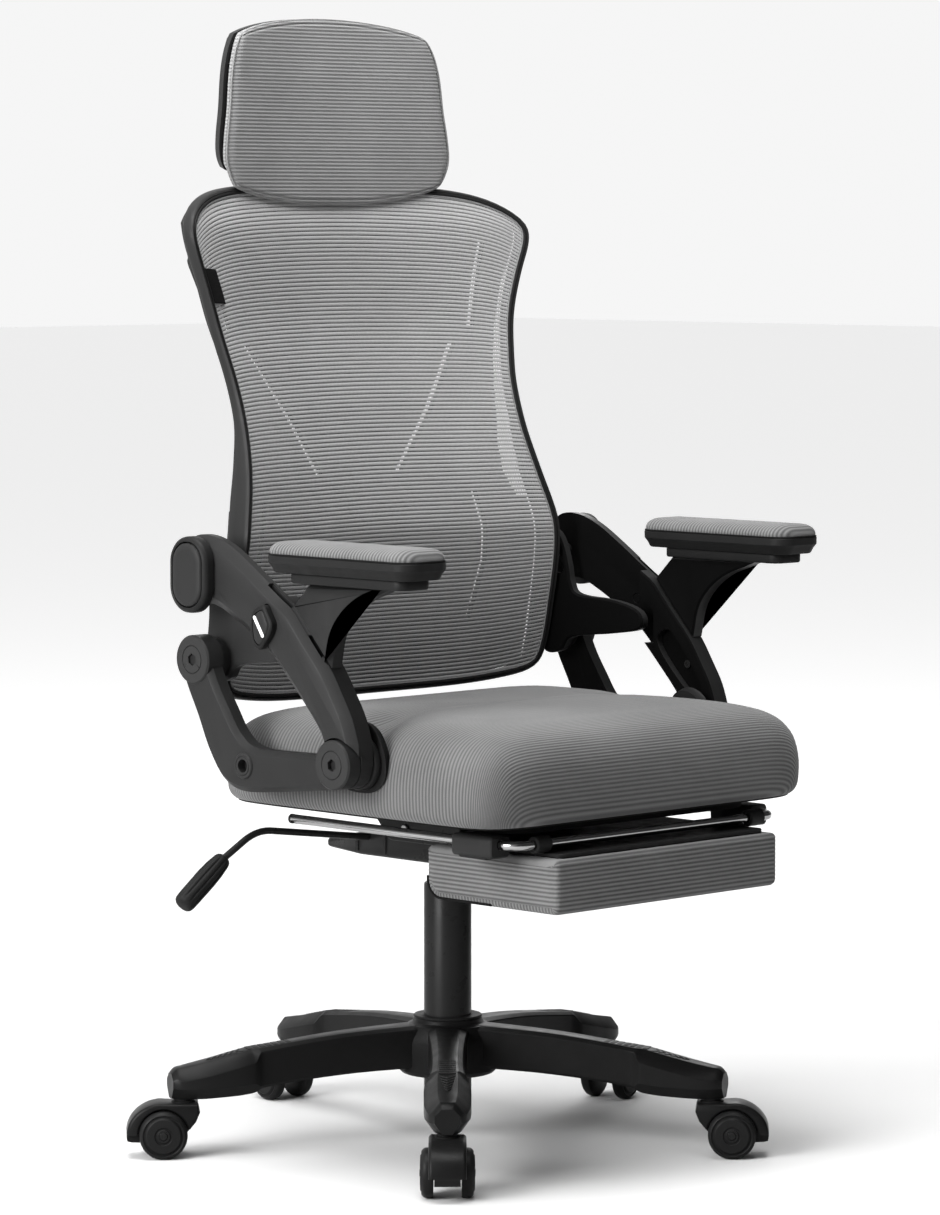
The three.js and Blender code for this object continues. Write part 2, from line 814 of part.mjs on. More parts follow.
// The branch that carries the arm pad: it rests on the beam's front edge, and its tongue
// turns inside the beam.
function armSupport() {
  const rootEdge = BEAM_FRONT_EDGE.slice(3).map(([y, z]) => [y - 1, z + 0.6]);
  const underside = smooth(
    [
      [-200, 633.6],
      [-182, 627],
      [-158, 618],
      [-136, 603],
      [-120, 582],
      [-112.5, 551],
    ],
    10,
  );
  const outline = shapeOf([...underside.slice(0, -1), ...rootEdge, [-60, 612], [-82, 633.6]]);
  const branch = sidePlate(outline, BEAM_IN + 5, BEAM_OUT - 3, 2, 1);
  const tongue = sidePlate(
    shapeOf([
      [-92, 581],
      [-41, 581],
      [-30, 575],
      [-14, 577],
      [-12, 592],
      [-26, 599],
      [-66, 610],
    ]),
    TONGUE_IN + 0.5,
    TONGUE_OUT - 0.5,
  );
  return join(branch, tongue, disc(ARM_PIVOT, 5, SIDE_IN + 0.4, BEAM_OUT - 4.9, 12));
}

function padPlate(halfWidth, back, front, z0, z1, bevel, radius) {
  const shape = roundedShape(halfWidth, (back - front) / 2, radius, PAD_X, (back + front) / 2);
  return planPlate(shape, z0, z1, bevel, 3);
}

addPair("seat_bracket", seatBracket(), plastic);
addPair("recline_bracket", reclineBracket(), plastic);
addPair("arm_beam", armBeam(), plastic);
addPair("arm_support", armSupport(), plastic);
addPair("linkage_button", linkageButton(), softPlastic);
addPair("recline_pin", reclinePin(), plastic);
addPair("recline_button", reclineButton(), softPlastic);
addPair("pad_track", padPlate(22, -72, -237, 634, 643.6, 0, 10), softPlastic);
addPair("pad_base", padPlate(PAD_WIDTH / 2, PAD_BACK, PAD_FRONT, 644, 656, 3, 20), softPlastic);
addPair("arm_pad", padPlate(PAD_WIDTH / 2 - 0.5, PAD_BACK - 1, PAD_FRONT + 1, 656.4, PAD_TOP, 7, 20), fabric);

// ---------- backrest ----------
// The netting's surface: base is its depth at the side, hollow is how much deeper the middle is.
const MESH_BOTTOM = 496;
const MESH_TOP = 1027;
const MESH_HOLLOW_WIDTH = 240;
const meshBase = profile([
  [490, 94],
  [510, 90.4],
  [560, 77.6],
  [610, 66.2],
  [660, 58],
  [685, 59],
  [735, 67],
  [785, 80],
  [835, 96],
  [885, 111],
  [935, 119.7],
  [985, 127],
  [1008, 136],
  [1026, 144],
]);
const meshHollow = profile([
  [490, 24],
  [560, 32],
  [660, 40],
  [760, 46],
  [860, 44],
  [985, 42],
  [1024, 42],
]);
const meshHalfWidth = profile([
  [496, 221],
  [514, 227],
  [540, 230],
  [580, 229],
  [624, 228],
  [657, 225.5],
  [684, 220],
  [722, 209.5],
  [771, 200.5],
  [819, 200],
  [862, 207],
  [895, 214],
  [922, 222],
  [947, 231],
  [965, 238],
  [980, 241],
  [995, 240],
  [1012, 236],
  [1027, 229],
]);

function meshY(x, z) {
  return meshBase(z) + meshHollow(z) * (1 - (x / MESH_HOLLOW_WIDTH) ** 2);
}

// Where (u, v) in 0..1 lies on the netting, seen from the front; inset moves the edges inward.
function meshPoint(u, v, inset = 0) {
  const side = 2 * u - 1;
  let x = 0;
  let z = THREE.MathUtils.lerp(MESH_BOTTOM, MESH_TOP, v);
  for (let step = 0; step < 12; step++) {
    x = side * (meshHalfWidth(z) - inset);
    const share = Math.abs(x) / 230;
    const low = MESH_BOTTOM + 14 * share ** 4 + inset;
    const high = MESH_TOP - 11 * share ** 2 - 17 * share ** 8 - inset;
    z = THREE.MathUtils.lerp(low, high, v);
  }
  return { x, z };
}

function meshSurface(offset) {
  return (u, v) => {
    const { x, z } = meshPoint(u, v);
    return [x, meshY(x, z) + offset, z];
  };
}

const ACROSS = 8; // steps along the netting's edges, shared by the hoop and the panel
const UPWARD = 18;
const hoopDepth = profile([
  [490, 14],
  [540, 24],
  [700, 26],
  [745, 20],
  [790, 12],
  [900, 11],
  [980, 12],
  [1027, 10],
]);

// The hoop holds the netting's edge: 5.5 mm outside it, and a lip behind it.
function backHoop() {
  const edge = [];
  for (let i = 0; i < ACROSS; i++) edge.push([i / ACROSS, 0]);
  for (let j = 0; j < UPWARD; j++) edge.push([1, j / UPWARD]);
  for (let i = ACROSS; i > 0; i--) edge.push([i / ACROSS, 1]);
  for (let j = UPWARD; j > 0; j--) edge.push([0, j / UPWARD]);
  const points = edge.map(([u, v]) => meshPoint(u, v));
  const sections = points.map((p, i) => {
    const before = points.at(i - 1);
    const after = points[(i + 1) % points.length];
    const along = new THREE.Vector2(after.x - before.x, after.z - before.z).normalize();
    const out = { x: along.y, z: -along.x };
    const corner = (reach, depth) => {
      const [x, z] = [p.x + out.x * reach, p.z + out.z * reach];
      return [x, meshY(x, z) + depth, z];
    };
    const back = 2 + hoopDepth(p.z);
    return [corner(5.5, 0), corner(5.5, back), corner(-2.5, back), corner(-2.5, 3), corner(1, 3), corner(1, -2)];
  });
  return ringOf(sections);
}

// Joins sections with the same number of corners into a closed ring.
function ringOf(sections) {
  const index = [];
  const count = sections.length;
  const corners = sections[0].length;
  for (let s = 0; s < count; s++)
    for (let k = 0; k < corners; k++) {
      const a = s * corners + k;
      const b = s * corners + ((k + 1) % corners);
      const c = ((s + 1) % count) * corners + ((k + 1) % corners);
      const d = ((s + 1) % count) * corners + k;
      index.push(a, b, c, a, c, d);
    }
  const geometry = new THREE.BufferGeometry();
  geometry.setAttribute("position", new THREE.Float32BufferAttribute(sections.flat(2), 3));
  geometry.setIndex(index);
  return geometry;
}

// The panel closes the hoop from behind.
function panelSurface(extra) {
  return (u, v) => {
    const { x, z } = meshPoint(u, v, 2);
    return [x, meshY(x, z) + 3.6 + hoopDepth(z) + extra, z];
  };
}

// A moulded panel behind the netting, with narrow slits.
function backShell() {
  const panel = slab(ACROSS, UPWARD, panelSurface(0), panelSurface(3.5));
  const upper = [
    [204, 970],
    [192, 926],
    [179, 876],
    [171, 878],
    [184, 929],
    [198, 971],
  ];
  const middle = [
    [155, 862],
    [115, 800],
    [61, 722],
    [53, 726],
    [107, 805],
    [146, 864],
  ];
  const lower = [
    [157, 702],
    [167, 660],
    [169, 625],
    [162, 590],
    [156, 562],
    [150, 564],
    [155, 592],
    [161, 626],
    [159, 658],
    [150, 700],
  ];
  // The panel stops short of the hoop's sides at the waist.
  const waist = [
    [235, 946],
    [227, 943],
    [216.5, 922],
    [209, 895],
    [201, 868],
    [194, 841],
    [189, 814],
    [186, 793],
    [185, 755],
    [190, 722],
    [205, 694],
    [260, 694],
    [260, 946],
  ];
  const slits = [upper, middle, lower, waist].flatMap((points) => {
    const slit = frontPlate(shapeOf(points), 40, 280);
    return [slit, mirrored(slit)];
  });
  return cut(panel, ...slits);
}

add("back_hoop", backHoop(), plastic);
add("back_mesh", slab(ACROSS, UPWARD, meshSurface(-0.8), meshSurface(0.8)), netting);
add("back_shell", backShell(), plastic);

// ---------- headrest ----------
const HEAD_HALF_WIDTH = profile([
  [1005, 150],
  [1022, 157],
  [1045, 162],
  [1075, 160],
  [1110, 155],
  [1150, 151],
  [1180, 145],
  [1206, 136],
]);
const HEAD_PIVOT = { y: 214, z: 1100 };

function headPoint(u, v, grow) {
  const side = 2 * u - 1;
  const level = THREE.MathUtils.lerp(1012, 1200, v);
  const x = side * (HEAD_HALF_WIDTH(level) + grow);
  const share = Math.abs(x) / 155;
  const low = 1009 + 17 * share ** 2.4;
  const high = 1206 - 20 * share ** 2;
  return { x, z: THREE.MathUtils.lerp(low, high, v) };
}

function headY(x, z) {
  const rise = (z - 1010) / 196;
  return 160 + 3 * rise + (10 + 10 * rise) * (1 - (x / 155) ** 2);
}

function headSurface(offset, grow, lowest = 0) {
  return (u, v) => {
    const { x, z } = headPoint(u, THREE.MathUtils.lerp(lowest, 1, v), grow);
    const thinned = lowest === 0 && v < 0.15 ? offset * (0.3 + 4.67 * v) : offset;
    return [x, headY(x, z) + thinned, z];
  };
}

function headrestShell() {
  const shell = slab(8, 6, headSurface(13.5, 1.5, 0.18), headSurface(24, -2, 0.2));
  const ears = [-1, 1].map((side) =>
    block(Math.min(side * 14, side * 22), Math.max(side * 14, side * 22), 190, 222, 1090, 1110),
  );
  const pin = rod(4, V(-18, HEAD_PIVOT.y, HEAD_PIVOT.z), V(18, HEAD_PIVOT.y, HEAD_PIVOT.z), 12);
  return join(shell, ...ears, pin);
}

function headrestSlider() {
  const barrel = rod(8, V(-13, HEAD_PIVOT.y, HEAD_PIVOT.z), V(13, HEAD_PIVOT.y, HEAD_PIVOT.z), 14);
  const bar = frontPlate(roundedShape(19, 70, 6, 0, 1024), 210, 218, 0, 2);
  const bore = rod(4 + GAP, V(-30, HEAD_PIVOT.y, HEAD_PIVOT.z), V(30, HEAD_PIVOT.y, HEAD_PIVOT.z), 12);
  const earRoom = [-1, 1].map((side) =>
    block(Math.min(side * 13, side * 40), Math.max(side * 13, side * 40), 180, 230, 1084, 1116),
  );
  return cut(join(bar, barrel), bore, ...earRoom);
}

function headrestMount() {
  const body = frontPlate(roundedShape(32, 36, 8, 0, 972), 190, 224, 2, 3);
  const channel = block(-19.6, 19.6, 209.4, 218.6, 900, 1050);
  const panelRoom = slab(ACROSS, UPWARD, panelSurface(-40), panelSurface(3.5 + GAP));
  return cut(body, channel, panelRoom);
}

add("headrest_cushion", slab(8, 8, headSurface(0, 0), headSurface(13, 0)), fabric);
add("headrest_shell", headrestShell(), plastic);
add("headrest_slider", headrestSlider(), plastic);
add("headrest_mount", headrestMount(), plastic);

// ---------- frame: the origin is the middle of the footprint, on the floor ----------
const footprint = new THREE.Box3().setFromObject(chair);
const middle = footprint.getCenter(V(0, 0, 0));
chair.position.set(-middle.x, -middle.y, -footprint.min.z);

const part = new THREE.Group();
part.add(chair);
export default part;
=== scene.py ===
"""Looks of the reclining gaming chair with a netting back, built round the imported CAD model.

Shapes are written in millimetres about the gas lift's axis, with the sitter facing -Y and the
sitter's left at +X. new_object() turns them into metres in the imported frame. Outlines seen from
the side are (y, z) loops, and k is 1 on the left side and -1 on the right.
"""

import math

import bmesh
import bpy
import numpy as np
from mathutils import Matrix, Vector


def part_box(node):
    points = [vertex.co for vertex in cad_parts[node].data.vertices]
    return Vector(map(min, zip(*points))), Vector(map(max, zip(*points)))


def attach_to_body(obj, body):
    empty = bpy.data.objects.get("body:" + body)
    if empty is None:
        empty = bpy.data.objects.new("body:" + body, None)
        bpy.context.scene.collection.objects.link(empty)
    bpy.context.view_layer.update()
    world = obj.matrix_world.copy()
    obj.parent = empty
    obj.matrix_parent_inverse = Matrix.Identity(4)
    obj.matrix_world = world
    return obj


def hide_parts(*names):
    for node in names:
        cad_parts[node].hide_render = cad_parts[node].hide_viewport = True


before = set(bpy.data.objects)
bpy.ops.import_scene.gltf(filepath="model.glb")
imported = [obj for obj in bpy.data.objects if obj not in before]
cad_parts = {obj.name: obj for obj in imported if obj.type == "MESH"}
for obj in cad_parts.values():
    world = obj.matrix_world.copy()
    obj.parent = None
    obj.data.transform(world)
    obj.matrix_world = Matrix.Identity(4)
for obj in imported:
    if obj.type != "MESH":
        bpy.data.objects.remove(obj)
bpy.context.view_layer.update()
tube_lo, tube_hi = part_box("gas_lift_tube")
FLOOR = 26.0  # the heights below are above a plane 26 mm under the floor
SHIFT = ((tube_lo.x + tube_hi.x) / 2, (tube_lo.y + tube_hi.y) / 2, -FLOOR / 1000)
TAU = 2 * math.pi


# ---------- small maths ----------
def lerp(a, b, t):
    return a + (b - a) * t


def smoothstep(a, b, x):
    t = np.clip((x - a) / (b - a), 0, 1)
    return t * t * (3 - 2 * t)


def profile(pairs):
    """The value at z of a smooth profile given as (z, value) pairs."""
    zs = np.array([p[0] for p in pairs], float)
    vs = np.array([p[1] for p in pairs], float)
    n = len(zs)
    slopes = np.empty(n)
    for i in range(n):
        a, b = max(i - 1, 0), min(i + 1, n - 1)
        slopes[i] = (vs[b] - vs[a]) / (zs[b] - zs[a])

    def at(z):
        z = np.asarray(z, float)
        i = np.clip(np.searchsorted(zs, z, side="right"), 1, n - 1)
        h = zs[i] - zs[i - 1]
        t = np.clip((z - zs[i - 1]) / h, 0, 1)
        return (
            (2 * t**3 - 3 * t**2 + 1) * vs[i - 1]
            + (t**3 - 2 * t**2 + t) * h * slopes[i - 1]
            + (3 * t**2 - 2 * t**3) * vs[i]
            + (t**3 - t**2) * h * slopes[i]
        )

    return at


def curve2(points, per=8, closed=False):
    """Points of a smooth curve through 2-D points."""
    p = np.array(points, float)
    n = len(p)
    out = []
    for i in range(n if closed else n - 1):
        if closed:
            a, b, c, d = p[(i - 1) % n], p[i], p[(i + 1) % n], p[(i + 2) % n]
        else:
            a, b, c, d = p[max(i - 1, 0)], p[i], p[i + 1], p[min(i + 2, n - 1)]
        for k in range(per):
            t = k / per
            v0, v1 = (c - a) / 2, (d - b) / 2
            out.append(
                (2 * b - 2 * c + v0 + v1) * t**3 + (-3 * b + 3 * c - 2 * v0 - v1) * t**2 + v0 * t + b
            )
    if not closed:
        out.append(p[-1])
    return np.array(out)


def inset(loop, d):
    """A closed anticlockwise 2-D loop moved inward by d."""
    p = np.asarray(loop, float)
    before, after = np.roll(p, 1, 0), np.roll(p, -1, 0)
    e0, e1 = p - before, after - p
    e0 /= np.linalg.norm(e0, axis=1)[:, None] + 1e-12
    e1 /= np.linalg.norm(e1, axis=1)[:, None] + 1e-12
    n0 = np.stack([-e0[:, 1], e0[:, 0]], 1)
    n1 = np.stack([-e1[:, 1], e1[:, 0]], 1)
    m = n0 + n1
    m /= np.linalg.norm(m, axis=1)[:, None] + 1e-12
    c = np.clip((m * n0).sum(1), 0.45, 1)
    return p + m * (d / c)[:, None]


def anticlockwise(loop):
    p = np.asarray(loop, float)
    q = np.roll(p, -1, 0)
    area = (p[:, 0] * q[:, 1] - q[:, 0] * p[:, 1]).sum()
    return p if area > 0 else p[::-1]


def rounded(hx, hy, r, cx=0.0, cy=0.0, per=10):
    """A rounded rectangle, always with 4 * (per + 1) points."""
    r = max(min(r, hx - 0.01, hy - 0.01), 0.01)
    out = []
    for q, (sx, sy) in enumerate([(1, 1), (-1, 1), (-1, -1), (1, -1)]):
        for k in range(per + 1):
            a = math.pi / 2 * (q + k / per)
            out.append((cx + sx * (hx - r) + r * math.cos(a), cy + sy * (hy - r) + r * math.sin(a)))
    return np.array(out)


# ---------- materials ----------
def new_material(name):
    """A material with its node tree and its shader."""
    m = bpy.data.materials.new(name)
    m.use_nodes = True
    return m, m.node_tree, m.node_tree.nodes["Principled BSDF"]


def ramp(tree, source, stops):
    """Maps source through (position, grey) stops."""
    r = tree.nodes.new("ShaderNodeValToRGB")
    while len(r.color_ramp.elements) < len(stops):
        r.color_ramp.elements.new(0.5)
    for e, (pos, v) in zip(r.color_ramp.elements, stops):
        e.position = pos
        e.color = (v, v, v, 1)
    tree.links.new(source, r.inputs[0])
    return r.outputs[0]


def math_node(tree, op, *values):
    n = tree.nodes.new("ShaderNodeMath")
    n.operation = op
    for i, v in enumerate(values):
        if isinstance(v, (int, float)):
            n.inputs[i].default_value = v
        else:
            tree.links.new(v, n.inputs[i])
    return n.outputs[0]


def noise_of(tree, scale, detail=3.0, rough=0.55, stretch=None):
    coords = tree.nodes.new("ShaderNodeTexCoord")
    n = tree.nodes.new("ShaderNodeTexNoise")
    n.inputs["Scale"].default_value = scale
    n.inputs["Detail"].default_value = detail
    n.inputs["Roughness"].default_value = rough
    place = coords.outputs["Object"]
    if stretch:
        mapping = tree.nodes.new("ShaderNodeMapping")
        mapping.inputs["Scale"].default_value = stretch
        tree.links.new(place, mapping.inputs[0])
        place = mapping.outputs[0]
    tree.links.new(place, n.inputs["Vector"])
    return n.outputs[0]


def bump(tree, height, strength, distance, normal=None):
    b = tree.nodes.new("ShaderNodeBump")
    b.inputs["Strength"].default_value = strength
    b.inputs["Distance"].default_value = distance
    tree.links.new(height, b.inputs["Height"])
    if normal:
        tree.links.new(normal, b.inputs["Normal"])
    return b.outputs[0]


def plastic(name, shade, rough, grain=900.0, depth=0.00012, wear=0.35, gleam=0.07):
    """Moulded plastic: fine grain, slow colour change, edges rubbed a little lighter."""
    m, t, s = new_material(name)
    cloud = noise_of(t, 9.0, 4.0)
    base = ramp(t, cloud, [(0.3, shade * 0.88), (0.7, shade * 1.12)])
    geometry = t.nodes.new("ShaderNodeNewGeometry")
    edge = ramp(t, geometry.outputs["Pointiness"], [(0.51, 0.0), (0.6, wear)])
    mix = t.nodes.new("ShaderNodeMix")
    mix.data_type = "RGBA"
    t.links.new(edge, mix.inputs["Factor"])
    t.links.new(base, mix.inputs["A"])
    light = min(shade * 1.8 + 0.003, 0.9)
    mix.inputs["B"].default_value = (light, light, light, 1)
    t.links.new(mix.outputs["Result"], s.inputs["Base Color"])
    patch = noise_of(t, 60.0, 3.0)
    t.links.new(ramp(t, patch, [(0.3, rough * 0.85), (0.7, min(rough * 1.15, 1))]), s.inputs["Roughness"])
    t.links.new(bump(t, noise_of(t, grain, 2.0), 0.5, depth), s.inputs["Normal"])
    s.inputs["Specular IOR Level"].default_value = gleam
    return m


def metal(name, shade, rough, brushed=False):
    m, t, s = new_material(name)
    s.inputs["Metallic"].default_value = 1.0
    stretch = (1, 1, 40) if brushed else None
    n = noise_of(t, 220.0 if brushed else 35.0, 4.0, 0.6, stretch)
    t.links.new(ramp(t, n, [(0.35, shade * 0.93), (0.65, shade)]), s.inputs["Base Color"])
    t.links.new(
        ramp(t, noise_of(t, 28.0, 5.0), [(0.3, rough * 0.7), (0.75, rough * 1.5)]), s.inputs["Roughness"]
    )
    return m


def cloth_surface(shader, rough, sheen, gleam):
    shader.inputs["Roughness"].default_value = rough
    shader.inputs["Sheen Weight"].default_value = sheen
    shader.inputs["Sheen Roughness"].default_value = 0.5
    shader.inputs["Specular IOR Level"].default_value = gleam


def ribbed_fabric(name, dark, light, pitch, thread=1400.0, depth=0.0006, sheen=0.25, contrast=1.0):
    """Knit with ribs: attribute rib holds the distance across the ribs, in metres."""
    m, t, s = new_material(name)
    rib = t.nodes.new("ShaderNodeAttribute")
    rib.attribute_name = "rib"
    phase = math_node(t, "MULTIPLY", rib.outputs["Fac"], TAU / pitch)
    wave = math_node(t, "MULTIPLY_ADD", math_node(t, "SINE", phase), 0.5, 0.5)
    fine = noise_of(t, thread, 2.0)
    cloud = noise_of(t, 14.0, 4.0)
    # painted shade: the rib wave paints the valleys between the ribs darker and their crests lighter; the
    # fine thread noise and the slow cloud are the knit's own tone
    tone = math_node(
        t, "ADD", math_node(t, "MULTIPLY", wave, 0.62 * contrast), math_node(t, "MULTIPLY", fine, 0.38)
    )
    tone = math_node(t, "ADD", tone, math_node(t, "MULTIPLY", math_node(t, "SUBTRACT", cloud, 0.5), 0.35))
    t.links.new(ramp(t, tone, [(0.12, dark), (0.85, light)]), s.inputs["Base Color"])
    cloth_surface(s, 0.88, sheen, 0.25)
    first = bump(t, wave, 0.7, depth)
    t.links.new(bump(t, fine, 0.5, 0.00025, first), s.inputs["Normal"])
    return m


def plain_cloth(name, dark, light, cell=520.0, sheen=0.2):
    """Woven cloth: two crossed waves of thread with a little noise."""
    m, t, s = new_material(name)
    coords = t.nodes.new("ShaderNodeTexCoord")
    waves = []
    for axis in "XYZ":
        w = t.nodes.new("ShaderNodeTexWave")
        w.bands_direction = axis
        w.inputs["Scale"].default_value = cell
        w.inputs["Distortion"].default_value = 1.5
        w.inputs["Detail"].default_value = 1.0
        t.links.new(coords.outputs["Object"], w.inputs["Vector"])
        waves.append(w.outputs["Fac"])
    weave = math_node(t, "MULTIPLY", math_node(t, "ADD", waves[0], waves[1]), 0.33)
    weave = math_node(t, "ADD", weave, math_node(t, "MULTIPLY", waves[2], 0.33))
    cloud = noise_of(t, 20.0, 4.0)
    tone = math_node(t, "ADD", math_node(t, "MULTIPLY", weave, 0.6), math_node(t, "MULTIPLY", cloud, 0.4))
    t.links.new(ramp(t, tone, [(0.25, dark), (0.75, light)]), s.inputs["Base Color"])
    cloth_surface(s, 0.9, sheen, 0.08)
    t.links.new(bump(t, weave, 0.6, 0.0004), s.inputs["Normal"])
    return m


SEAT_RIB, HEAD_RIB, FOOT_RIB, PAD_RIB, NET_RIB = 4.6, 3.85, 4.35, 4.2, 4.45  # mm from rib to rib
FRAME_GREY = plastic("frame_grey_plastic", 0.012, 0.45, 1100.0, 0.00012, 0.35, 0.08)
SHELL_GREY = plastic("shell_grey_plastic", 0.16, 0.5, 900.0)
NYLON = plastic("black_nylon", 0.005, 0.36, 700.0, 0.00016)
DARK = plastic("black_plastic", 0.007, 0.5, 1000.0)
# painted shade: near-black, put on the side frames' faces that look across to the other arm in place of their
# shadow
INNER_SHADE = plastic("inner_painted_shade", 0.0016, 0.7, 700.0, 0.00012, 0.2, 0.02)
TYRE = plastic("wheel_black", 0.007, 0.42, 800.0)
RUBBER = plastic("grip_rubber", 0.007, 0.55, 1500.0, 0.0002)
STEEL_BLACK = plastic("painted_steel", 0.01, 0.3, 300.0, 0.00005)
# painted highlight: the white streak on the arms' hexagonal buttons
HIGHLIGHT_STREAK = plastic("painted_highlight_white", 0.6, 0.3, 500.0, 0.00003, 0.0)
CHROME = metal("dark_chrome", 0.32, 0.14)
ZINC = metal("zinc_steel", 0.3, 0.32, True)
SEAT_KNIT = ribbed_fabric("seat_knit", 0.038, 0.1, SEAT_RIB / 1000, 1500.0, 0.0004, 0.1)
BACK_NET = ribbed_fabric("back_netting", 0.21, 0.3, 0.006, 1600.0, 0.0001, 0.1, 0.2)
HEAD_KNIT = ribbed_fabric("head_knit", 0.09, 0.195, HEAD_RIB / 1000, 1500.0, 0.0003, 0.1)
FOOT_KNIT = ribbed_fabric("foot_knit", 0.032, 0.115, FOOT_RIB / 1000, 1500.0, 0.0004, 0.1)
PAD_KNIT = ribbed_fabric("arm_pad_knit", 0.03, 0.11, PAD_RIB / 1000, 1600.0, 0.0004, 0.1)
PIPING = plain_cloth("grey_piping", 0.1, 0.2, 900.0, 0.1)
BLACK_CLOTH = plain_cloth("black_cloth", 0.002, 0.006, 700.0, 0.0)


# ---------- meshes ----------
RECORDS = []  # (object, body, CAD nodes, slot) of every piece, in the order they were made


def new_object(name, verts, faces, fix=True):
    """An object from points in millimetres; fix turns its faces outward."""
    co = np.array(verts, float) / 1000 + np.array(SHIFT)
    me = bpy.data.meshes.new(name)
    me.from_pydata(co.tolist(), [], [tuple(int(i) for i in f) for f in faces])
    me.update()
    if fix:
        bm = bmesh.new()
        bm.from_mesh(me)
        bmesh.ops.recalc_face_normals(bm, faces=bm.faces)
        bm.to_mesh(me)
        bm.free()
    ob = bpy.data.objects.new(name, me)
    bpy.context.scene.collection.objects.link(ob)
    return ob


def attach(ob, body, replaces):
    """Lets a piece ride on a CAD body, in the place of that body's nodes in replaces."""
    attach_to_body(ob, body)
    if replaces:
        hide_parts(*replaces)


def put(name, verts, faces, mat, body, replaces=(), slot=None, angle=40, rib=None, fix=True):
    """Makes one piece. rib is the value of the fabrics' rib attribute at each point."""
    ob = new_object(name, verts, faces, fix)
    me = ob.data
    if rib is not None:
        me.attributes.new("rib", "FLOAT", "POINT").data.foreach_set("value", np.asarray(rib, np.float32))
    me.materials.append(mat)
    finish_shading(me, angle)
    attach(ob, body, replaces)
    RECORDS.append((ob, body, tuple(replaces), slot))
    return ob


def mirror_to_right(records):
    """The chair's other side: the same pieces, turned over across the middle."""
    for ob, body, replaces, slot in records:
        me = ob.data.copy()
        co = np.empty(len(me.vertices) * 3)
        me.vertices.foreach_get("co", co)
        co[0::3] = 2 * SHIFT[0] - co[0::3]
        me.vertices.foreach_set("co", co)
        me.flip_normals()
        me.name = ob.name.replace("left", "right")
        twin = bpy.data.objects.new(me.name, me)
        bpy.context.scene.collection.objects.link(twin)
        attach(
            twin, body.replace("left", "right"), [node.replace("left", "right") for node in replaces]
        )


def paint_inner_shade(ob, below=0.6):
    """Paints shade on the left side's faces that look across to the other arm: they get the near-black inner
    material, a painted shade for the shadow the seat, the back and the other arm cast on them.
    """
    ob.data.materials.append(INNER_SHADE)
    for face in ob.data.polygons:
        if face.normal.x < -below:
            face.material_index = 1


def finish_shading(me, angle):
    me.polygons.foreach_set("use_smooth", [True] * len(me.polygons))
    me.set_sharp_from_angle(angle=math.radians(angle))


def soften(ob, width, segments=2, limit=28, angle=40):
    """Rounds the edges of a piece for good."""
    mod = ob.modifiers.new("edges", "BEVEL")
    mod.width = width / 1000
    mod.segments = segments
    mod.limit_method = "ANGLE"
    mod.angle_limit = math.radians(limit)
    mod.use_clamp_overlap = True
    return settle(ob, angle)


def settle(ob, angle=40):
    dg = bpy.context.evaluated_depsgraph_get()
    me = bpy.data.meshes.new_from_object(ob.evaluated_get(dg))
    ob.modifiers.clear()
    ob.data = me
    finish_shading(me, angle)
    return ob


def carve(ob, *tools, mode="DIFFERENCE"):
    """Cuts closed meshes out of a piece, or adds them to it, and removes them."""
    for tool in tools:
        mod = ob.modifiers.new("cut", "BOOLEAN")
        mod.operation = mode
        mod.solver = "EXACT"
        mod.object = tool
    settle(ob)
    for tool in tools:
        bpy.data.objects.remove(tool)
    return ob


def tool_from(verts, faces):
    """A temporary closed mesh for carve()."""
    return new_object("tool", verts, faces)


def grid_faces(rows, cols, wrap_rows=False, wrap_cols=False, base=0):
    faces = []
    for r in range(rows if wrap_rows else rows - 1):
        for c in range(cols if wrap_cols else cols - 1):
            r2, c2 = (r + 1) % rows, (c + 1) % cols
            faces.append(
                (base + r * cols + c, base + r * cols + c2, base + r2 * cols + c2, base + r2 * cols + c)
            )
    return faces


def loft(rings, caps=True, closed=False):
    """Verts and faces of closed sections joined in order."""
    rings = [np.asarray(r, float) for r in rings]
    n = len(rings[0])
    verts = np.concatenate(rings)
    faces = grid_faces(len(rings), n, closed, True)
    if caps and not closed:
        faces.append(tuple(range(n))[::-1])
        faces.append(tuple((len(rings) - 1) * n + i for i in range(n)))
    return verts, faces


def side_rings(loop, stations, k=1):
    """Rings of a (y, z) loop at (x, inset) stations."""
    rings = []
    for x, d in stations:
        p = inset(loop, d) if d else np.asarray(loop, float)
        rings.append(np.column_stack([np.full(len(p), k * x), p[:, 0], p[:, 1]]))
    return rings


def side_plate(loop, x0, x1, chamfer, k=1):
    """A (y, z) loop as a plate from x0 to x1 with chamfers at both faces."""
    return plate(loop, [(x0, chamfer), (x0 + chamfer, 0), (x1 - chamfer, 0), (x1, chamfer)], k)


def circle(r, n, cx=0.0, cy=0.0, start=0.0):
    """n points of a circle; start is the first one's angle."""
    return [
        (cx + r * math.cos(start + TAU * i / n), cy + r * math.sin(start + TAU * i / n))
        for i in range(n)
    ]


def turned(profile_rh, centre, axis, n=48):
    """A lathe body: (radius, height) pairs round an axis through centre. Ends at radius 0 are closed."""
    axis = Vector(axis).normalized()
    u = axis.orthogonal().normalized()
    v = axis.cross(u)
    rings = []
    for r, h in profile_rh:
        r = max(r, 0.02)
        ring = []
        for i in range(n):
            a = TAU * i / n
            p = Vector(centre) + axis * h + u * (r * math.cos(a)) + v * (r * math.sin(a))
            ring.append(tuple(p))
        rings.append(ring)
    return loft(rings)


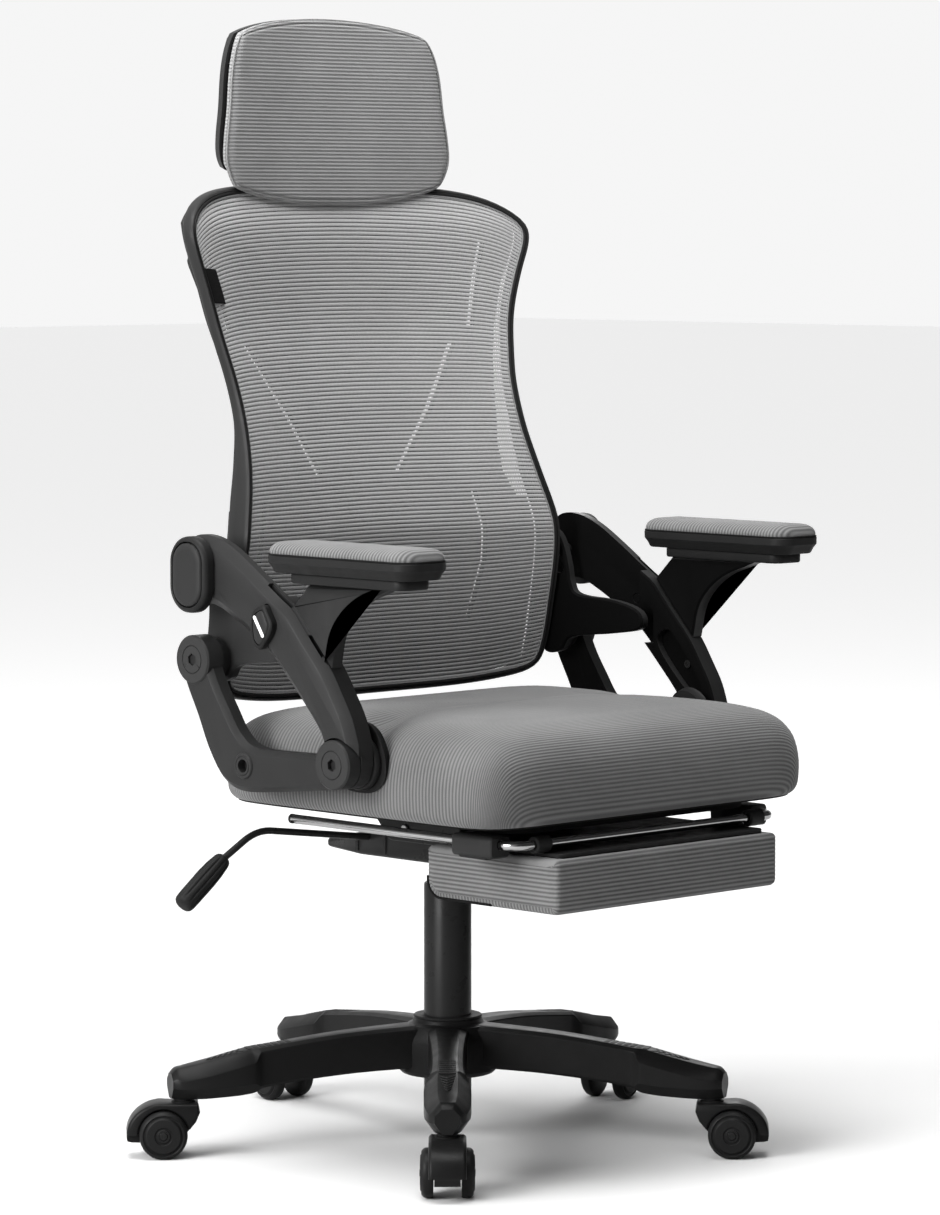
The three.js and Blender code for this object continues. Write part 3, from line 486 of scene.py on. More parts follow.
def pipe(points, radius, n=16):
    """A round bar along points. radius is one number or one for each point."""
    pts = [Vector(p) for p in points]
    radii = [radius] * len(pts) if isinstance(radius, (int, float)) else list(radius)
    rings = []
    last = None
    for i, p in enumerate(pts):
        d = (pts[min(i + 1, len(pts) - 1)] - pts[max(i - 1, 0)]).normalized()
        u = d.orthogonal().normalized() if last is None else (last - d * last.dot(d)).normalized()
        last = u
        v = d.cross(u)
        rings.append(
            [tuple(p + (u * math.cos(TAU * j / n) + v * math.sin(TAU * j / n)) * radii[i]) for j in range(n)]
        )
    return loft(rings)


def merge(*parts):
    verts, faces, base = [], [], 0
    for v, f in parts:
        v = np.asarray(v, float)
        verts.append(v)
        faces += [tuple(i + base for i in face) for face in f]
        base += len(v)
    return np.concatenate(verts), faces


def plate(loop, stations, k=1):
    """A (y, z) loop through (x, inset) stations."""
    return loft(side_rings(anticlockwise(loop), stations, k))


def disc(pivot, profile_rx, k=1, n=56):
    """A lathe body across the chair: (radius, x) pairs round a pivot."""
    return turned(profile_rx, (0, *pivot), (k, 0, 0), n)


def cylinder(pivot, radius, x0, x1, n):
    """A plain cylinder across the left side, from x0 to x1."""
    return disc(pivot, [(0, x0), (radius, x0), (radius, x1), (0, x1)], n=n)


def hexagon(pivot, radius, x0, x1, turn=0.4):
    return plate(circle(radius, 6, *pivot, turn), [(x0, 0), (x1, 0)])


def join_all(ob, *parts):
    return carve(ob, *[tool_from(*p) for p in parts], mode="UNION")


def cut_all(ob, *parts):
    return carve(ob, *[tool_from(*p) for p in parts])


def side_name(k):
    return "left" if k > 0 else "right"


def cord_loop(points, radius, up=(0, 0, 1), n=8):
    """A round cord along a closed loop of points that lies square to up."""
    pts = [Vector(p) for p in points]
    w = Vector(up).normalized()
    rings = []
    for i in range(len(pts)):
        d = (pts[(i + 1) % len(pts)] - pts[i - 1]).normalized()
        u = d.cross(w).normalized()
        rings.append(
            [
                tuple(pts[i] + (u * math.cos(TAU * j / n) + w * math.sin(TAU * j / n)) * radius)
                for j in range(n)
            ]
        )
    return loft(rings, closed=True)


def rounded_corners(loop, radius, steps=5):
    """A polygon with its corners cut by small arcs."""
    p = np.asarray(loop, float)
    n = len(p)
    out = []
    for i in range(n):
        a, b, c = p[i - 1], p[i], p[(i + 1) % n]
        ua, uc = a - b, c - b
        la, lc = np.linalg.norm(ua), np.linalg.norm(uc)
        t = min(radius, la * 0.45, lc * 0.45)
        s, e = b + ua / la * t, b + uc / lc * t
        for j in range(steps + 1):
            w = j / steps
            out.append((1 - w) ** 2 * s + 2 * w * (1 - w) * b + w**2 * e)
    return np.array(out)


def plan_rings(cx, cy, hx, hy, r, levels, per=12):
    """Rings of a rounded rectangle seen from above, as (z, inset) levels."""
    rings = []
    for z, d in levels:
        p = rounded(hx - d, hy - d, max(r - d, 0.5), cx, cy, per)
        rings.append(np.column_stack([p[:, 0], p[:, 1], np.full(len(p), z)]))
    return rings


def rim_loop(r_in, r_out, low, high, lip=0.8):
    return [
        (r_in, low), (r_out - lip, low), (r_out, low + lip), (r_out, high - lip), (r_out - lip, high),
        (r_in, high)
    ]


def ring_tube(r_in, r_out, x0, x1, centre, n=40):
    """A tube across the chair with softened rims."""
    rings = [[(x, y, z) for y, z in circle(r, n, *centre)] for r, x in rim_loop(r_in, r_out, x0, x1)]
    return loft(rings, closed=True)


def ring_z(r_in, r_out, z0, z1, n=48):
    """An upright tube round the gas lift with softened rims."""
    rings = [[(x, y, z) for x, y in circle(r, n)] for r, z in rim_loop(r_in, r_out, z0, z1)]
    return loft(rings, closed=True)


def turned_about_z(part, degrees, shift=(0, 0, 0)):
    v, f = part
    v = np.array(v, float)
    c, s = math.cos(math.radians(degrees)), math.sin(math.radians(degrees))
    out = v.copy()
    out[:, 0] = v[:, 0] * c - v[:, 1] * s + shift[0]
    out[:, 1] = v[:, 0] * s + v[:, 1] * c + shift[1]
    out[:, 2] += shift[2]
    return out, f


def closed_pipe(points, radius, n=8):
    """A round cord along a closed loop of points."""
    pts = [Vector(p) for p in points]
    count = len(pts)
    rings = []
    for i, p in enumerate(pts):
        d = (pts[(i + 1) % count] - pts[i - 1]).normalized()
        u = d.cross(Vector((0, 1, 0))).normalized()
        v = d.cross(u)
        rings.append(
            [tuple(p + (u * math.cos(TAU * j / n) + v * math.sin(TAU * j / n)) * radius) for j in range(n)]
        )
    return loft(rings, closed=True)


# ---------- the netting's surface, as in the CAD ----------
MESH_BOTTOM, MESH_TOP, MESH_WIDE = 496.0, 1027.0, 240.0
mesh_base = profile(
    [(490, 94), (510, 90.4), (560, 77.6), (610, 66.2), (660, 58), (685, 59), (735, 67), (785, 80)]
    + [(835, 96), (885, 111), (935, 119.7), (985, 127), (1008, 136), (1026, 144)]
)
mesh_hollow = profile([(490, 24), (560, 32), (660, 40), (760, 46), (860, 44), (985, 42), (1024, 42)])
mesh_half = profile(
    [(496, 221), (514, 227), (540, 230), (580, 229), (624, 228), (657, 225.5), (684, 220), (722, 209.5)]
    + [(771, 200.5), (819, 200), (862, 207), (895, 214), (922, 222), (947, 231), (965, 238), (980, 241)]
    + [(995, 240), (1012, 236), (1027, 229)]
)
hoop_depth = profile(
    [(490, 14), (540, 24), (700, 26), (745, 20), (790, 12), (900, 11), (980, 12), (1027, 10)]
)


def mesh_y(x, z):
    return mesh_base(z) + mesh_hollow(z) * (1 - (np.asarray(x) / MESH_WIDE) ** 2)


def mesh_point(u, v, shrink=0.0):
    """Where (u, v) in 0..1 lies on the netting, seen from the front."""
    u, v = np.broadcast_arrays(np.asarray(u, float), np.asarray(v, float))
    side = 2 * u - 1
    z = lerp(MESH_BOTTOM, MESH_TOP, v)
    for _ in range(12):
        x = side * (mesh_half(z) - shrink)
        share = np.abs(x) / 230
        low = MESH_BOTTOM + 14 * share**4 + shrink
        high = MESH_TOP - 11 * share**2 - 17 * share**8 - shrink
        z = lerp(low, high, v)
    return x, z


def smooth_loop(points, rounds):
    """Evens out a closed loop of points."""
    for _ in range(rounds):
        points = (np.roll(points, 1, 0) + 2 * points + np.roll(points, -1, 0)) / 4
    return points


def hoop_path(count_across=60, count_up=110):
    """Points (x, z) round the netting's edge, with its corners rounded."""
    edge = [(i / count_across, 0) for i in range(count_across)]
    edge += [(1, j / count_up) for j in range(count_up)]
    edge += [(i / count_across, 1) for i in range(count_across, 0, -1)]
    edge += [(0, j / count_up) for j in range(count_up, 0, -1)]
    u, v = np.array([e[0] for e in edge], float), np.array([e[1] for e in edge], float)
    return smooth_loop(np.column_stack(mesh_point(u, v)), 6)


def edge_sweep(path, section, depth_at):
    """Sweeps (reach, depth) sections round the path. Reach is outward, depth is behind the netting."""
    before, after = np.roll(path, 1, 0), np.roll(path, -1, 0)
    along = after - before
    along /= np.linalg.norm(along, axis=1)[:, None]
    out = np.column_stack([along[:, 1], -along[:, 0]])
    rings = []
    for p, o in zip(path, out):
        ring = []
        for reach, depth in section(depth_at(p[1])):
            x, z = p[0] + o[0] * reach, p[1] + o[1] * reach
            ring.append((x, float(mesh_y(x, z)) + depth, z))
        rings.append(ring)
    return loft(rings, closed=True)


# ---------- backrest ----------
def add_hoop():
    path = hoop_path()

    def body_section(depth):
        back = 2 + depth
        return [
            (1.0, -1.4), (2.2, -2.4), (3.8, -2.0), (5.0, 0.2), (5.5, 3.2),
            (5.6, back * 0.55), (5.3, back - 2.4),
            (3.6, back - 0.4), (1.4, back), (-0.6, back), (-2.2, back - 1.2), (-2.6, back * 0.5), (-2.5, 3.6),
            (-1.6, 3.0), (0.8, 3.0), (0.8, 0.0),
        ]

    body = edge_sweep(path, body_section, hoop_depth)
    put("back_hoop_frame", *body, FRAME_GREY, "backrest", ["back_hoop"], "frame_plastic", 50)

    def bead(reach, depth, radius, count):
        return lambda _: circle(radius, count, reach, depth)

    lip = edge_sweep(path, bead(-0.4, -1.3, 1.7, 10), hoop_depth)
    put("back_hoop_lip", *lip, DARK, "backrest", (), "black_plastic", 60)
    piping = edge_sweep(path, bead(-2.9, -1.2, 0.7, 8), hoop_depth)
    put("back_edge_piping", *piping, PIPING, "backrest", (), "netting", 60)


def strand(steps, ring, base):
    """The faces of one rib or thread, whose points start at base."""
    caps = [tuple(base + k for k in range(ring))[::-1]]
    caps.append(tuple(base + (steps - 1) * ring + k for k in range(ring)))
    return grid_faces(steps, ring, False, True, base) + caps


def add_netting():
    """Every rib is its own flat band; thin threads behind join them."""
    verts, faces, rib = [], [], []
    half_high, half_thick, edge_gap = 1.72, 0.45, 1.2
    steps, ring = 48, 8
    for level in np.arange(MESH_BOTTOM + 3.5, MESH_TOP - 2, NET_RIB):
        v = (level - MESH_BOTTOM) / (MESH_TOP - MESH_BOTTOM)
        x, z = mesh_point(np.linspace(0, 1, steps), np.full(steps, v), edge_gap)
        faces += strand(steps, ring, len(verts))
        for i in range(steps):
            for k in range(ring):
                a = TAU * k / ring
                zz = z[i] + half_high * math.copysign(abs(math.sin(a)) ** 0.8, math.sin(a))
                y = float(mesh_y(x[i], zz)) - half_thick * math.copysign(abs(math.cos(a)) ** 0.8, math.cos(a))
                verts.append((x[i], y, zz))
                rib.append((x[i] + math.sin(level * 1.7) * 3) / 1000)
    threads, steps = 150, 60
    across, behind = 0.45, 0.4  # half a thread's size
    for t in range(1, threads):
        x, z = mesh_point(np.full(steps, t / threads), np.linspace(0.004, 0.996, steps), edge_gap)
        y = mesh_y(x, z) + half_thick
        faces += strand(steps, 4, len(verts))
        for i in range(steps):
            for dx, dy in ((across, 0.0), (0.0, behind), (-across, 0.0), (0.0, -behind)):
                verts.append((x[i] + dx, y[i] + dy, z[i]))
                rib.append(z[i] / 1000)
    net = put(
        "back_netting", verts, faces, BACK_NET, "backrest", ["back_mesh"], "netting", 60, rib, fix=False
    )


def panel_grid(cols, rows, extra):
    """Points of the back shell's surface. extra is how far behind it they lie, at (x, z)."""
    out = []
    for j in range(rows + 1):
        x, z = mesh_point(np.linspace(0, 1, cols + 1), np.full(cols + 1, j / rows), 2.0)
        y = mesh_y(x, z) + 3.6 + hoop_depth(z) + extra(x, z)
        out += list(zip(x, y, z))
    return out


def closed_slab(front, back, cols, rows):
    """A solid between two grids of points."""
    w, half = cols + 1, (cols + 1) * (rows + 1)
    faces = grid_faces(rows + 1, w)
    faces += [tuple(reversed([i + half for i in f])) for f in grid_faces(rows + 1, w)]
    for i in range(cols):
        top = rows * w + i
        faces += [(i, half + i, half + i + 1, i + 1), (top, top + 1, half + top + 1, half + top)]
    for j in range(rows):
        left, right = j * w, j * w + cols
        faces += [
            (left, left + w, half + left + w, half + left), (right, half + right, half + right + w, right + w)
        ]
    return list(front) + list(back), faces


SLITS = [
    [(205, 970), (193, 926), (180, 876), (171, 878), (184, 929), (197, 971)],
    [(155, 862), (115, 800), (61, 722), (53, 726), (107, 805), (146, 864)],
    [(157, 702), (167, 660), (169, 625), (162, 590), (156, 562)]
    + [(150, 564), (155, 592), (161, 626), (159, 658), (150, 700)],
]
# the panel stops short of the hoop's sides at the waist: its edge there, then two corners outside
WAIST_EDGE = [
    (235, 946), (227, 943), (216.5, 922), (209, 895), (201, 868), (194, 841), (189, 814), (186, 793)
]
WAIST_EDGE += [(185, 755), (190, 722), (205, 694)]
WAIST = WAIST_EDGE + [(260, 694), (260, 946)]


def front_prism(points, y0, y1, k):
    """An (x, z) outline as a prism from y0 to y1."""
    loop = anticlockwise([(k * x, z) for x, z in points])
    return loft([[(x, y, z) for x, z in loop] for y in (y0, y1)])


def near_line(x, z, line):
    """Distance from (|x|, z) to a line of points."""
    best = np.inf
    px, pz = np.abs(x), z
    for (x0, z0), (x1, z1) in zip(line, line[1:]):
        dx, dz = x1 - x0, z1 - z0
        t = np.clip(((px - x0) * dx + (pz - z0) * dz) / (dx * dx + dz * dz), 0, 1)
        best = np.minimum(best, np.hypot(px - x0 - t * dx, pz - z0 - t * dz))
    return best


# the slits' middle lines, which their raised rims follow
SLIT_LINES = [
    [(201, 971), (188, 927), (175, 877)],
    [(150, 863), (111, 802), (57, 724)],
    [(154, 701), (163, 659), (165, 625), (158, 591), (153, 563)],
]


def add_back_shell():
    cols, rows = 120, 140

    def relief(x, z):
        ax = np.abs(x)
        spine = 3.0 * (1 - smoothstep(26, 40, ax)) * smoothstep(520, 560, z) * (1 - smoothstep(925, 950, z))
        wing = 1.6 * (1 - smoothstep(4, 9, np.abs(ax - 60 - (z - 520) * 0.16))) * smoothstep(530, 560, z)
        rim = 0.0
        for line in SLIT_LINES + [WAIST_EDGE]:
            rim = np.maximum(rim, 3.6 * (1 - smoothstep(5.5, 10.0, near_line(x, z, line))))
        return 3.5 + np.maximum(spine + wing * (1 - smoothstep(960, 1000, z)), rim)

    front = panel_grid(cols, rows, lambda x, z: 0.0)
    back = panel_grid(cols, rows, relief)
    panel = closed_slab(front, back, cols, rows)
    shell = put("back_shell_panel", *panel, FRAME_GREY, "backrest", ["back_shell"], "frame_plastic", 45)
    tools = []
    for points in SLITS + [WAIST]:
        for k in (1, -1):
            tools.append(tool_from(*front_prism(points, 30, 300, k)))
    carve(shell, *tools)
    finish_shading(shell.data, 35)
    shell.data.materials.append(SHELL_GREY)
    for face in shell.data.polygons:
        if face.normal.y < -0.6:
            face.material_index = 1


def add_tag():
    """A small blank cloth tag sewn at the hoop's edge."""
    cols, rows = 6, 10
    low, high = 908, 36

    def surface(offset):
        pts = []
        for j in range(rows + 1):
            z = low + high * j / rows
            for i in range(cols + 1):
                x = -float(mesh_half(z)) + 2.0 + 21 * i / cols
                pts.append(
                    (
                        x, float(mesh_y(x, z)) - offset - 0.35 * math.sin(math.pi * i / cols),
                        z - 1.5 * i / cols
                    )
                )
        return pts

    tag = put(
        "blank_tag", *closed_slab(surface(2.6), surface(1.4), cols, rows), BLACK_CLOTH, "backrest", (),
        "black_plastic", 30
    )
    soften(tag, 0.3, 2)


# ---------- headrest ----------
head_half = profile(
    [(1005, 150), (1022, 157), (1045, 162), (1075, 160), (1110, 155), (1150, 151), (1180, 145), (1206, 136)]
)


HEAD_PIVOT = (214, 1100)
HEAD_WIDE, HEAD_HIGH = 318, 192


def head_point(u, v, grow=0.0):
    """Where (u, v) in 0..1 lies on the headrest, seen from the front."""
    side = 2 * np.asarray(u, float) - 1
    level = lerp(1012.0, 1200.0, np.asarray(v, float))
    x = side * (head_half(level) + grow)
    share = np.abs(x) / 155
    low = 1009 + 17 * share**2.4
    high = 1206 - 20 * share**2
    return x, lerp(low, high, np.asarray(v, float))


def head_y(x, z):
    """The headrest's front surface."""
    rise = (z - 1010) / 196
    return 160 + 3 * rise + (10 + 10 * rise) * (1 - (x / 155) ** 2)


def edge_distance(u, v, high):
    """Rough distance to the nearest edge of a (u, v) patch of the headrest, in mm."""
    return np.minimum(np.minimum(u, 1 - u) * HEAD_WIDE, np.minimum(v, 1 - v) * high)


def round_corners(u, v, pull, power, reach=(1.0, 1.0)):
    """Draws the points of a (u, v) patch near its corners in."""
    su, sv = 2 * u - 1, 2 * v - 1
    keep = 1 - pull * np.abs(su) ** power * np.abs(sv) ** power
    return (su * keep * reach[0] + 1) / 2, (sv * keep * reach[1] + 1) / 2


def add_headrest():
    cols, rows = 56, 300
    u, v = np.meshgrid(np.linspace(0, 1, cols + 1), np.linspace(0, 1, rows + 1))
    x, z = head_point(*round_corners(u, v, 0.045, 6))
    d = edge_distance(u, v, HEAD_HIGH)
    roll = np.sqrt(np.clip(1 - (1 - np.clip(d / 7.0, 0, 1)) ** 2, 0, 1))
    rib_at = z / HEAD_RIB * TAU
    border = smoothstep(5.0, 7.5, d)
    ribs = 0.32 * np.sin(rib_at) * border
    seam = 1.5 * np.exp(-(((d - 5.2) / 1.1) ** 2))
    swell = 3.0 * np.clip(d / 60, 0, 1) ** 0.6
    y_front = head_y(x, z) + 4.5 * (1 - roll) - ribs * 0.8 + seam - swell + 1.0
    thin = np.where(v < 0.15, 0.3 + 4.67 * v, 1.0)
    y_back = head_y(x, z) + 12.6 * thin - 4.2 * (1 - roll)
    front = np.stack([x, y_front, z], -1).reshape(-1, 3)
    back = np.stack([x, np.maximum(y_back, y_front + 0.6), z], -1).reshape(-1, 3)
    verts, faces = closed_slab(front, back, cols, rows)
    rib = np.concatenate([z.ravel(), z.ravel()]) / 1000
    pad = put("headrest_pad", verts, faces, HEAD_KNIT, "headrest", ["headrest_cushion"], "netting", 60, rib)
    # the light piping round the border
    corners = np.array([(0, 0), (1, 0), (1, 1), (0, 1), (0, 0)], float)
    per_side = 70
    border = [lerp(a, b, i / per_side) for a, b in zip(corners, corners[1:]) for i in range(per_side)]
    x, z = head_point(*round_corners(*np.array(border).T, 0.045, 6, (0.995, 0.99)))
    y = head_y(x, z) + 3.4
    centre = smooth_loop(np.column_stack([x, y, z]), 4)
    put("headrest_piping", *closed_pipe(centre, 1.0, 8), PIPING, "headrest", (), "netting", 60)
    add_headrest_shell()


def add_headrest_shell():
    cols, rows = 40, 40

    def surface(offset, grow, lowest):
        u, v = np.meshgrid(np.linspace(0, 1, cols + 1), np.linspace(lowest, 1, rows + 1))
        w = (v - lowest) / (1 - lowest)
        inner_u, inner_w = round_corners(u, w, 0.05, 5)
        x, z = head_point(inner_u, lerp(lowest, 1, inner_w), grow)
        return x, head_y(x, z) + offset, z, edge_distance(u, w, 160)

    front = np.stack(surface(13.4, 2.4, 0.1)[:3], -1).reshape(-1, 3)
    x, y, z, d = surface(27.0, 0.6, 0.12)
    y = y - 5.5 * (1 - np.clip(d / 9, 0, 1)) ** 2 + 1.2 * np.exp(-(((d - 22) / 2.0) ** 2))
    back = np.stack([x, y, z], -1).reshape(-1, 3)
    verts, faces = closed_slab(front, back, cols, rows)
    put("headrest_back_shell", verts, faces, FRAME_GREY, "headrest", ["headrest_shell"], "frame_plastic", 50)
    parts = []
    for k in (-1, 1):
        ear = [(186, 1084), (214, 1088), (222, 1094), (222, 1106), (214, 1112), (186, 1118)]
        parts.append(side_plate(ear, 14, 22, 0.8, k))
    parts.append(disc(HEAD_PIVOT, [(4, -24), (4, 24)], n=24))
    put("headrest_ears", *merge(*parts), FRAME_GREY, "headrest", (), "frame_plastic", 40)
    cap = [(0, 0), (6.2, 0), (6.6, 0.6), (6.6, 2.0), (5.6, 2.8), (3.2, 2.8), (3.0, 1.6), (0, 1.6)]
    for name, k in (("r", -1), ("l", 1)):
        part = turned(cap, (k * 24.4, *HEAD_PIVOT), (k, 0, 0), 28)
        put(f"headrest_pivot_cap_{name}", *part, DARK, "headrest", (), "black_plastic", 40)
    bar = []
    for z, y0, y1, h in (
        (954, 211, 217, 17), (957, 210, 218, 19), (1078, 210, 218, 19), (1083, 210, 218, 17)
    ):
        bar.append([(x, y, z) for x, y in rounded(h, (y1 - y0) / 2, 2.5, 0, (y0 + y1) / 2, 5)])
    put(
        "headrest_slide_bar", *loft(bar), FRAME_GREY, "headrest_slide", ["headrest_slider"], "frame_plastic",
        40
    )
    neck = side_plate([(209, 1078), (219, 1078), (219, 1092), (209, 1092)], -11, 11, 0.8)
    put("headrest_slide_neck", *neck, FRAME_GREY, "headrest_slide", (), "frame_plastic", 40)
    barrel = disc(HEAD_PIVOT, [(4.6, -12.6), (7.4, -12.6), (8, -12), (8, 12), (7.4, 12.6), (4.6, 12.6)], n=36)
    put("headrest_barrel", *barrel, FRAME_GREY, "headrest_slide", (), "frame_plastic", 40)


def add_headrest_mount():
    rings = []
    for y, d in ((224, 2.5), (222.5, 0.8), (220, 0), (196, 0), (192, 0.5)):
        rings.append([(x, y, z) for x, z in rounded(32 - d, 36 - d, 9, 0, 972, 8)])
    block = put(
        "headrest_mount_block", *loft(rings), FRAME_GREY, "backrest", ["headrest_mount"], "frame_plastic", 40
    )
    channel = tool_from(
        *loft([[(x, y, z) for x, y in rounded(19.7, 4.7, 2.2, 0, 214, 4)] for z in (900, 1050)])
    )
    cells = 24
    room = [panel_grid(cells, cells, lambda x, z, by=by: by) for by in (-70, 4.2)]
    carve(block, channel, tool_from(*closed_slab(*room, cells, cells)))
    finish_shading(block.data, 35)


add_hoop()
add_netting()
add_back_shell()
add_tag()
add_headrest()
add_headrest_mount()


# ---------- side frames ----------
REAR_PIVOT, FRONT_PIVOT, ARM_PIVOT = (82, 547), (-126, 455), (-24, 586)
SEAT_BOLT, LINK_PIN = (6, 444), (80, 634)
BRACKET_IN, BRACKET_OUT, BEAM_IN, BEAM_OUT, SIDE_IN, SIDE_OUT = 236.8, 249.4, 250, 279, 262, 284


L_OUTER = curve2(
    [(104, 536), (94, 515), (79, 488), (63, 456), (42, 429), (14, 418), (-30, 420), (-126, 430)], 5
)
L_INNER = curve2([(-124, 463), (-60, 462), (-8, 463), (16, 476), (34, 500), (50, 524), (62, 548)], 5)


def add_seat_bracket():
    loop = np.concatenate([L_OUTER, L_INNER])
    body = plate(
        loop,
        [
            (SIDE_IN, 1.5), (SIDE_IN + 1.5, 0), (SIDE_OUT - 7.5, 0), (SIDE_OUT - 6.9, 0.5),
            (SIDE_OUT - 2.5, 4.8), (SIDE_OUT - 2, 5.6)
        ]
    )
    ob = put("seat_bracket_left_shell", *body, FRAME_GREY, "seat", ["seat_bracket_left"], "frame_plastic", 35)
    rear = disc(
        REAR_PIVOT,
        [
            (0, SIDE_IN), (23.8, SIDE_IN), (25, SIDE_IN + 1.2), (25, SIDE_OUT - 1.8), (23.4, SIDE_OUT),
            (0, SIDE_OUT)
        ]
    )
    join_all(ob, rear)
    room = disc(
        FRONT_PIVOT, [(0, BRACKET_OUT), (30, BRACKET_OUT), (30, BEAM_OUT - 11.6), (0, BEAM_OUT - 11.6)], n=72
    )
    cut_all(ob, room, cylinder(REAR_PIVOT, 7.6, 255, 280, 32))
    front = disc(
        FRONT_PIVOT,
        [
            (0, BEAM_OUT - 12), (23.8, BEAM_OUT - 12), (25, BEAM_OUT - 11), (25, SIDE_OUT - 1.8),
            (23.4, SIDE_OUT), (0, SIDE_OUT)
        ]
    )
    pin = cylinder(FRONT_PIVOT, 7, 245, 275, 32)
    under = disc(FRONT_PIVOT, [(0, 240.4), (26, 240.4), (27, 241.4), (27, 248.4), (26, 249.4), (0, 249.4)])
    boss = cylinder(SEAT_BOLT, 13, 240.4, 268, 40)
    join_all(ob, front, pin, under, boss)
    bolt_boss = disc(SEAT_BOLT, [(0, 280), (13.4, 280), (13.4, 282.6), (12.4, 283.8), (0, 283.8)], n=44)
    join_all(ob, bolt_boss)
    rings = []
    for p, r in ((REAR_PIVOT, 14.2), (FRONT_PIVOT, 14.2), (SEAT_BOLT, 9.6)):
        path = [(283.9, y, z) for y, z in circle(r, 56, *p)]
        rings.append(cord_loop(path, 0.75, (1, 0, 0)))
    cut_all(ob, *rings)
    cut_all(
        ob, hexagon(REAR_PIVOT, 6.4, 281, 290), hexagon(FRONT_PIVOT, 6.4, 279, 290),
        cylinder(SEAT_BOLT, 6.8, 274, 290, 36)
    )
    finish_shading(ob.data, 32)
    # painted shade on the faces that look across to the other arm
    paint_inner_shade(ob)
    sockets = [
        cylinder(REAR_PIVOT, 6.0, 281.0, 281.4, 24),
        cylinder(FRONT_PIVOT, 6.0, 279.0, 279.5, 24),
        disc(
            SEAT_BOLT, [(0, 274.0), (6.5, 274.0), (6.5, 274.8), (3.0, 275.0), (2.8, 274.4), (0, 274.4)], n=24
        ),
    ]
    for i, part in enumerate(sockets):
        put(f"bolt_socket_left_{i + 1}", *part, DARK, "seat", (), "black_plastic", 30)


def add_recline_bracket():
    outline = curve2(
        [
            (106, 545), (100, 566), (97, 600), (102, 634), (90, 656), (74, 655), (63, 640), (56, 618),
            (52, 600), (40, 588)
        ]
        + [(-14, 584), (-50, 574), (-52, 556), (-10, 548), (50, 541), (66, 526), (90, 523)],
        5,
        True,
    )
    body = plate(outline, [(BRACKET_IN, 2.0), (BRACKET_IN + 2, 0), (BRACKET_OUT - 3, 0), (BRACKET_OUT, 3.0)])
    ob = put(
        "recline_bracket_left_shell", *body, FRAME_GREY, "backrest", ["recline_bracket_left"],
        "frame_plastic", 35
    )
    boss = cylinder(REAR_PIVOT, 20, 245, 261.6, 48)
    pin = cylinder(REAR_PIVOT, 7, 250, 278.6, 32)
    join_all(ob, boss, pin)
    ends = [LINK_PIN, (74.8, 628.0), (71.0, 622.6), (68.4, 617.4)]
    slots = []
    for (y0, z0), (y1, z1) in zip(ends, ends[1:]):
        a = math.atan2(z1 - z0, y1 - y0)
        half_turn = np.linspace(a + math.pi / 2, a + 3 * math.pi / 2, 14)
        loop = [(y0 + 7.5 * math.cos(t), z0 + 7.5 * math.sin(t)) for t in half_turn]
        loop += [(y1 - 7.5 * math.cos(t), z1 - 7.5 * math.sin(t)) for t in half_turn]
        slots.append(plate(loop, [(BRACKET_IN - 2, 0), (BRACKET_OUT + 2, 0)]))
    cut_all(ob, *slots)
    finish_shading(ob.data, 32)
    # painted shade on the faces that look across to the other arm
    paint_inner_shade(ob)


BEAM_UNDER = [
    (106, 612), (92, 604), (62, 604), (36, 594), (4, 577), (-28, 556), (-64, 521), (-96, 486), (-103, 466)
]
BEAM_FOOT = [(-101, 455), (-108, 437), (-126, 430), (-144, 437), (-151.5, 455)]
BEAM_FRONT = [(-151, 476), (-142, 501), (-128, 524), (-111, 549), (-84, 578), (-57, 608)]
BEAM_TOP = [(-54, 609), (-34, 621), (0, 643), (34, 663), (62, 673), (88, 673), (104, 660), (110, 636)]
BUTTON = [(-0.25, 1), (-1, 0.15), (-0.8, -0.25), (0.1, -1), (0.75, -0.75), (1, 0.1), (0.75, 0.7)]


def button_loop(grow):
    """The hexagonal button's outline, larger by grow."""
    pts = [(ARM_PIVOT[0] + u * (17 + grow), ARM_PIVOT[1] + v * (24 + grow)) for u, v in BUTTON]
    return rounded_corners(anticlockwise(pts), 5.0, 5)


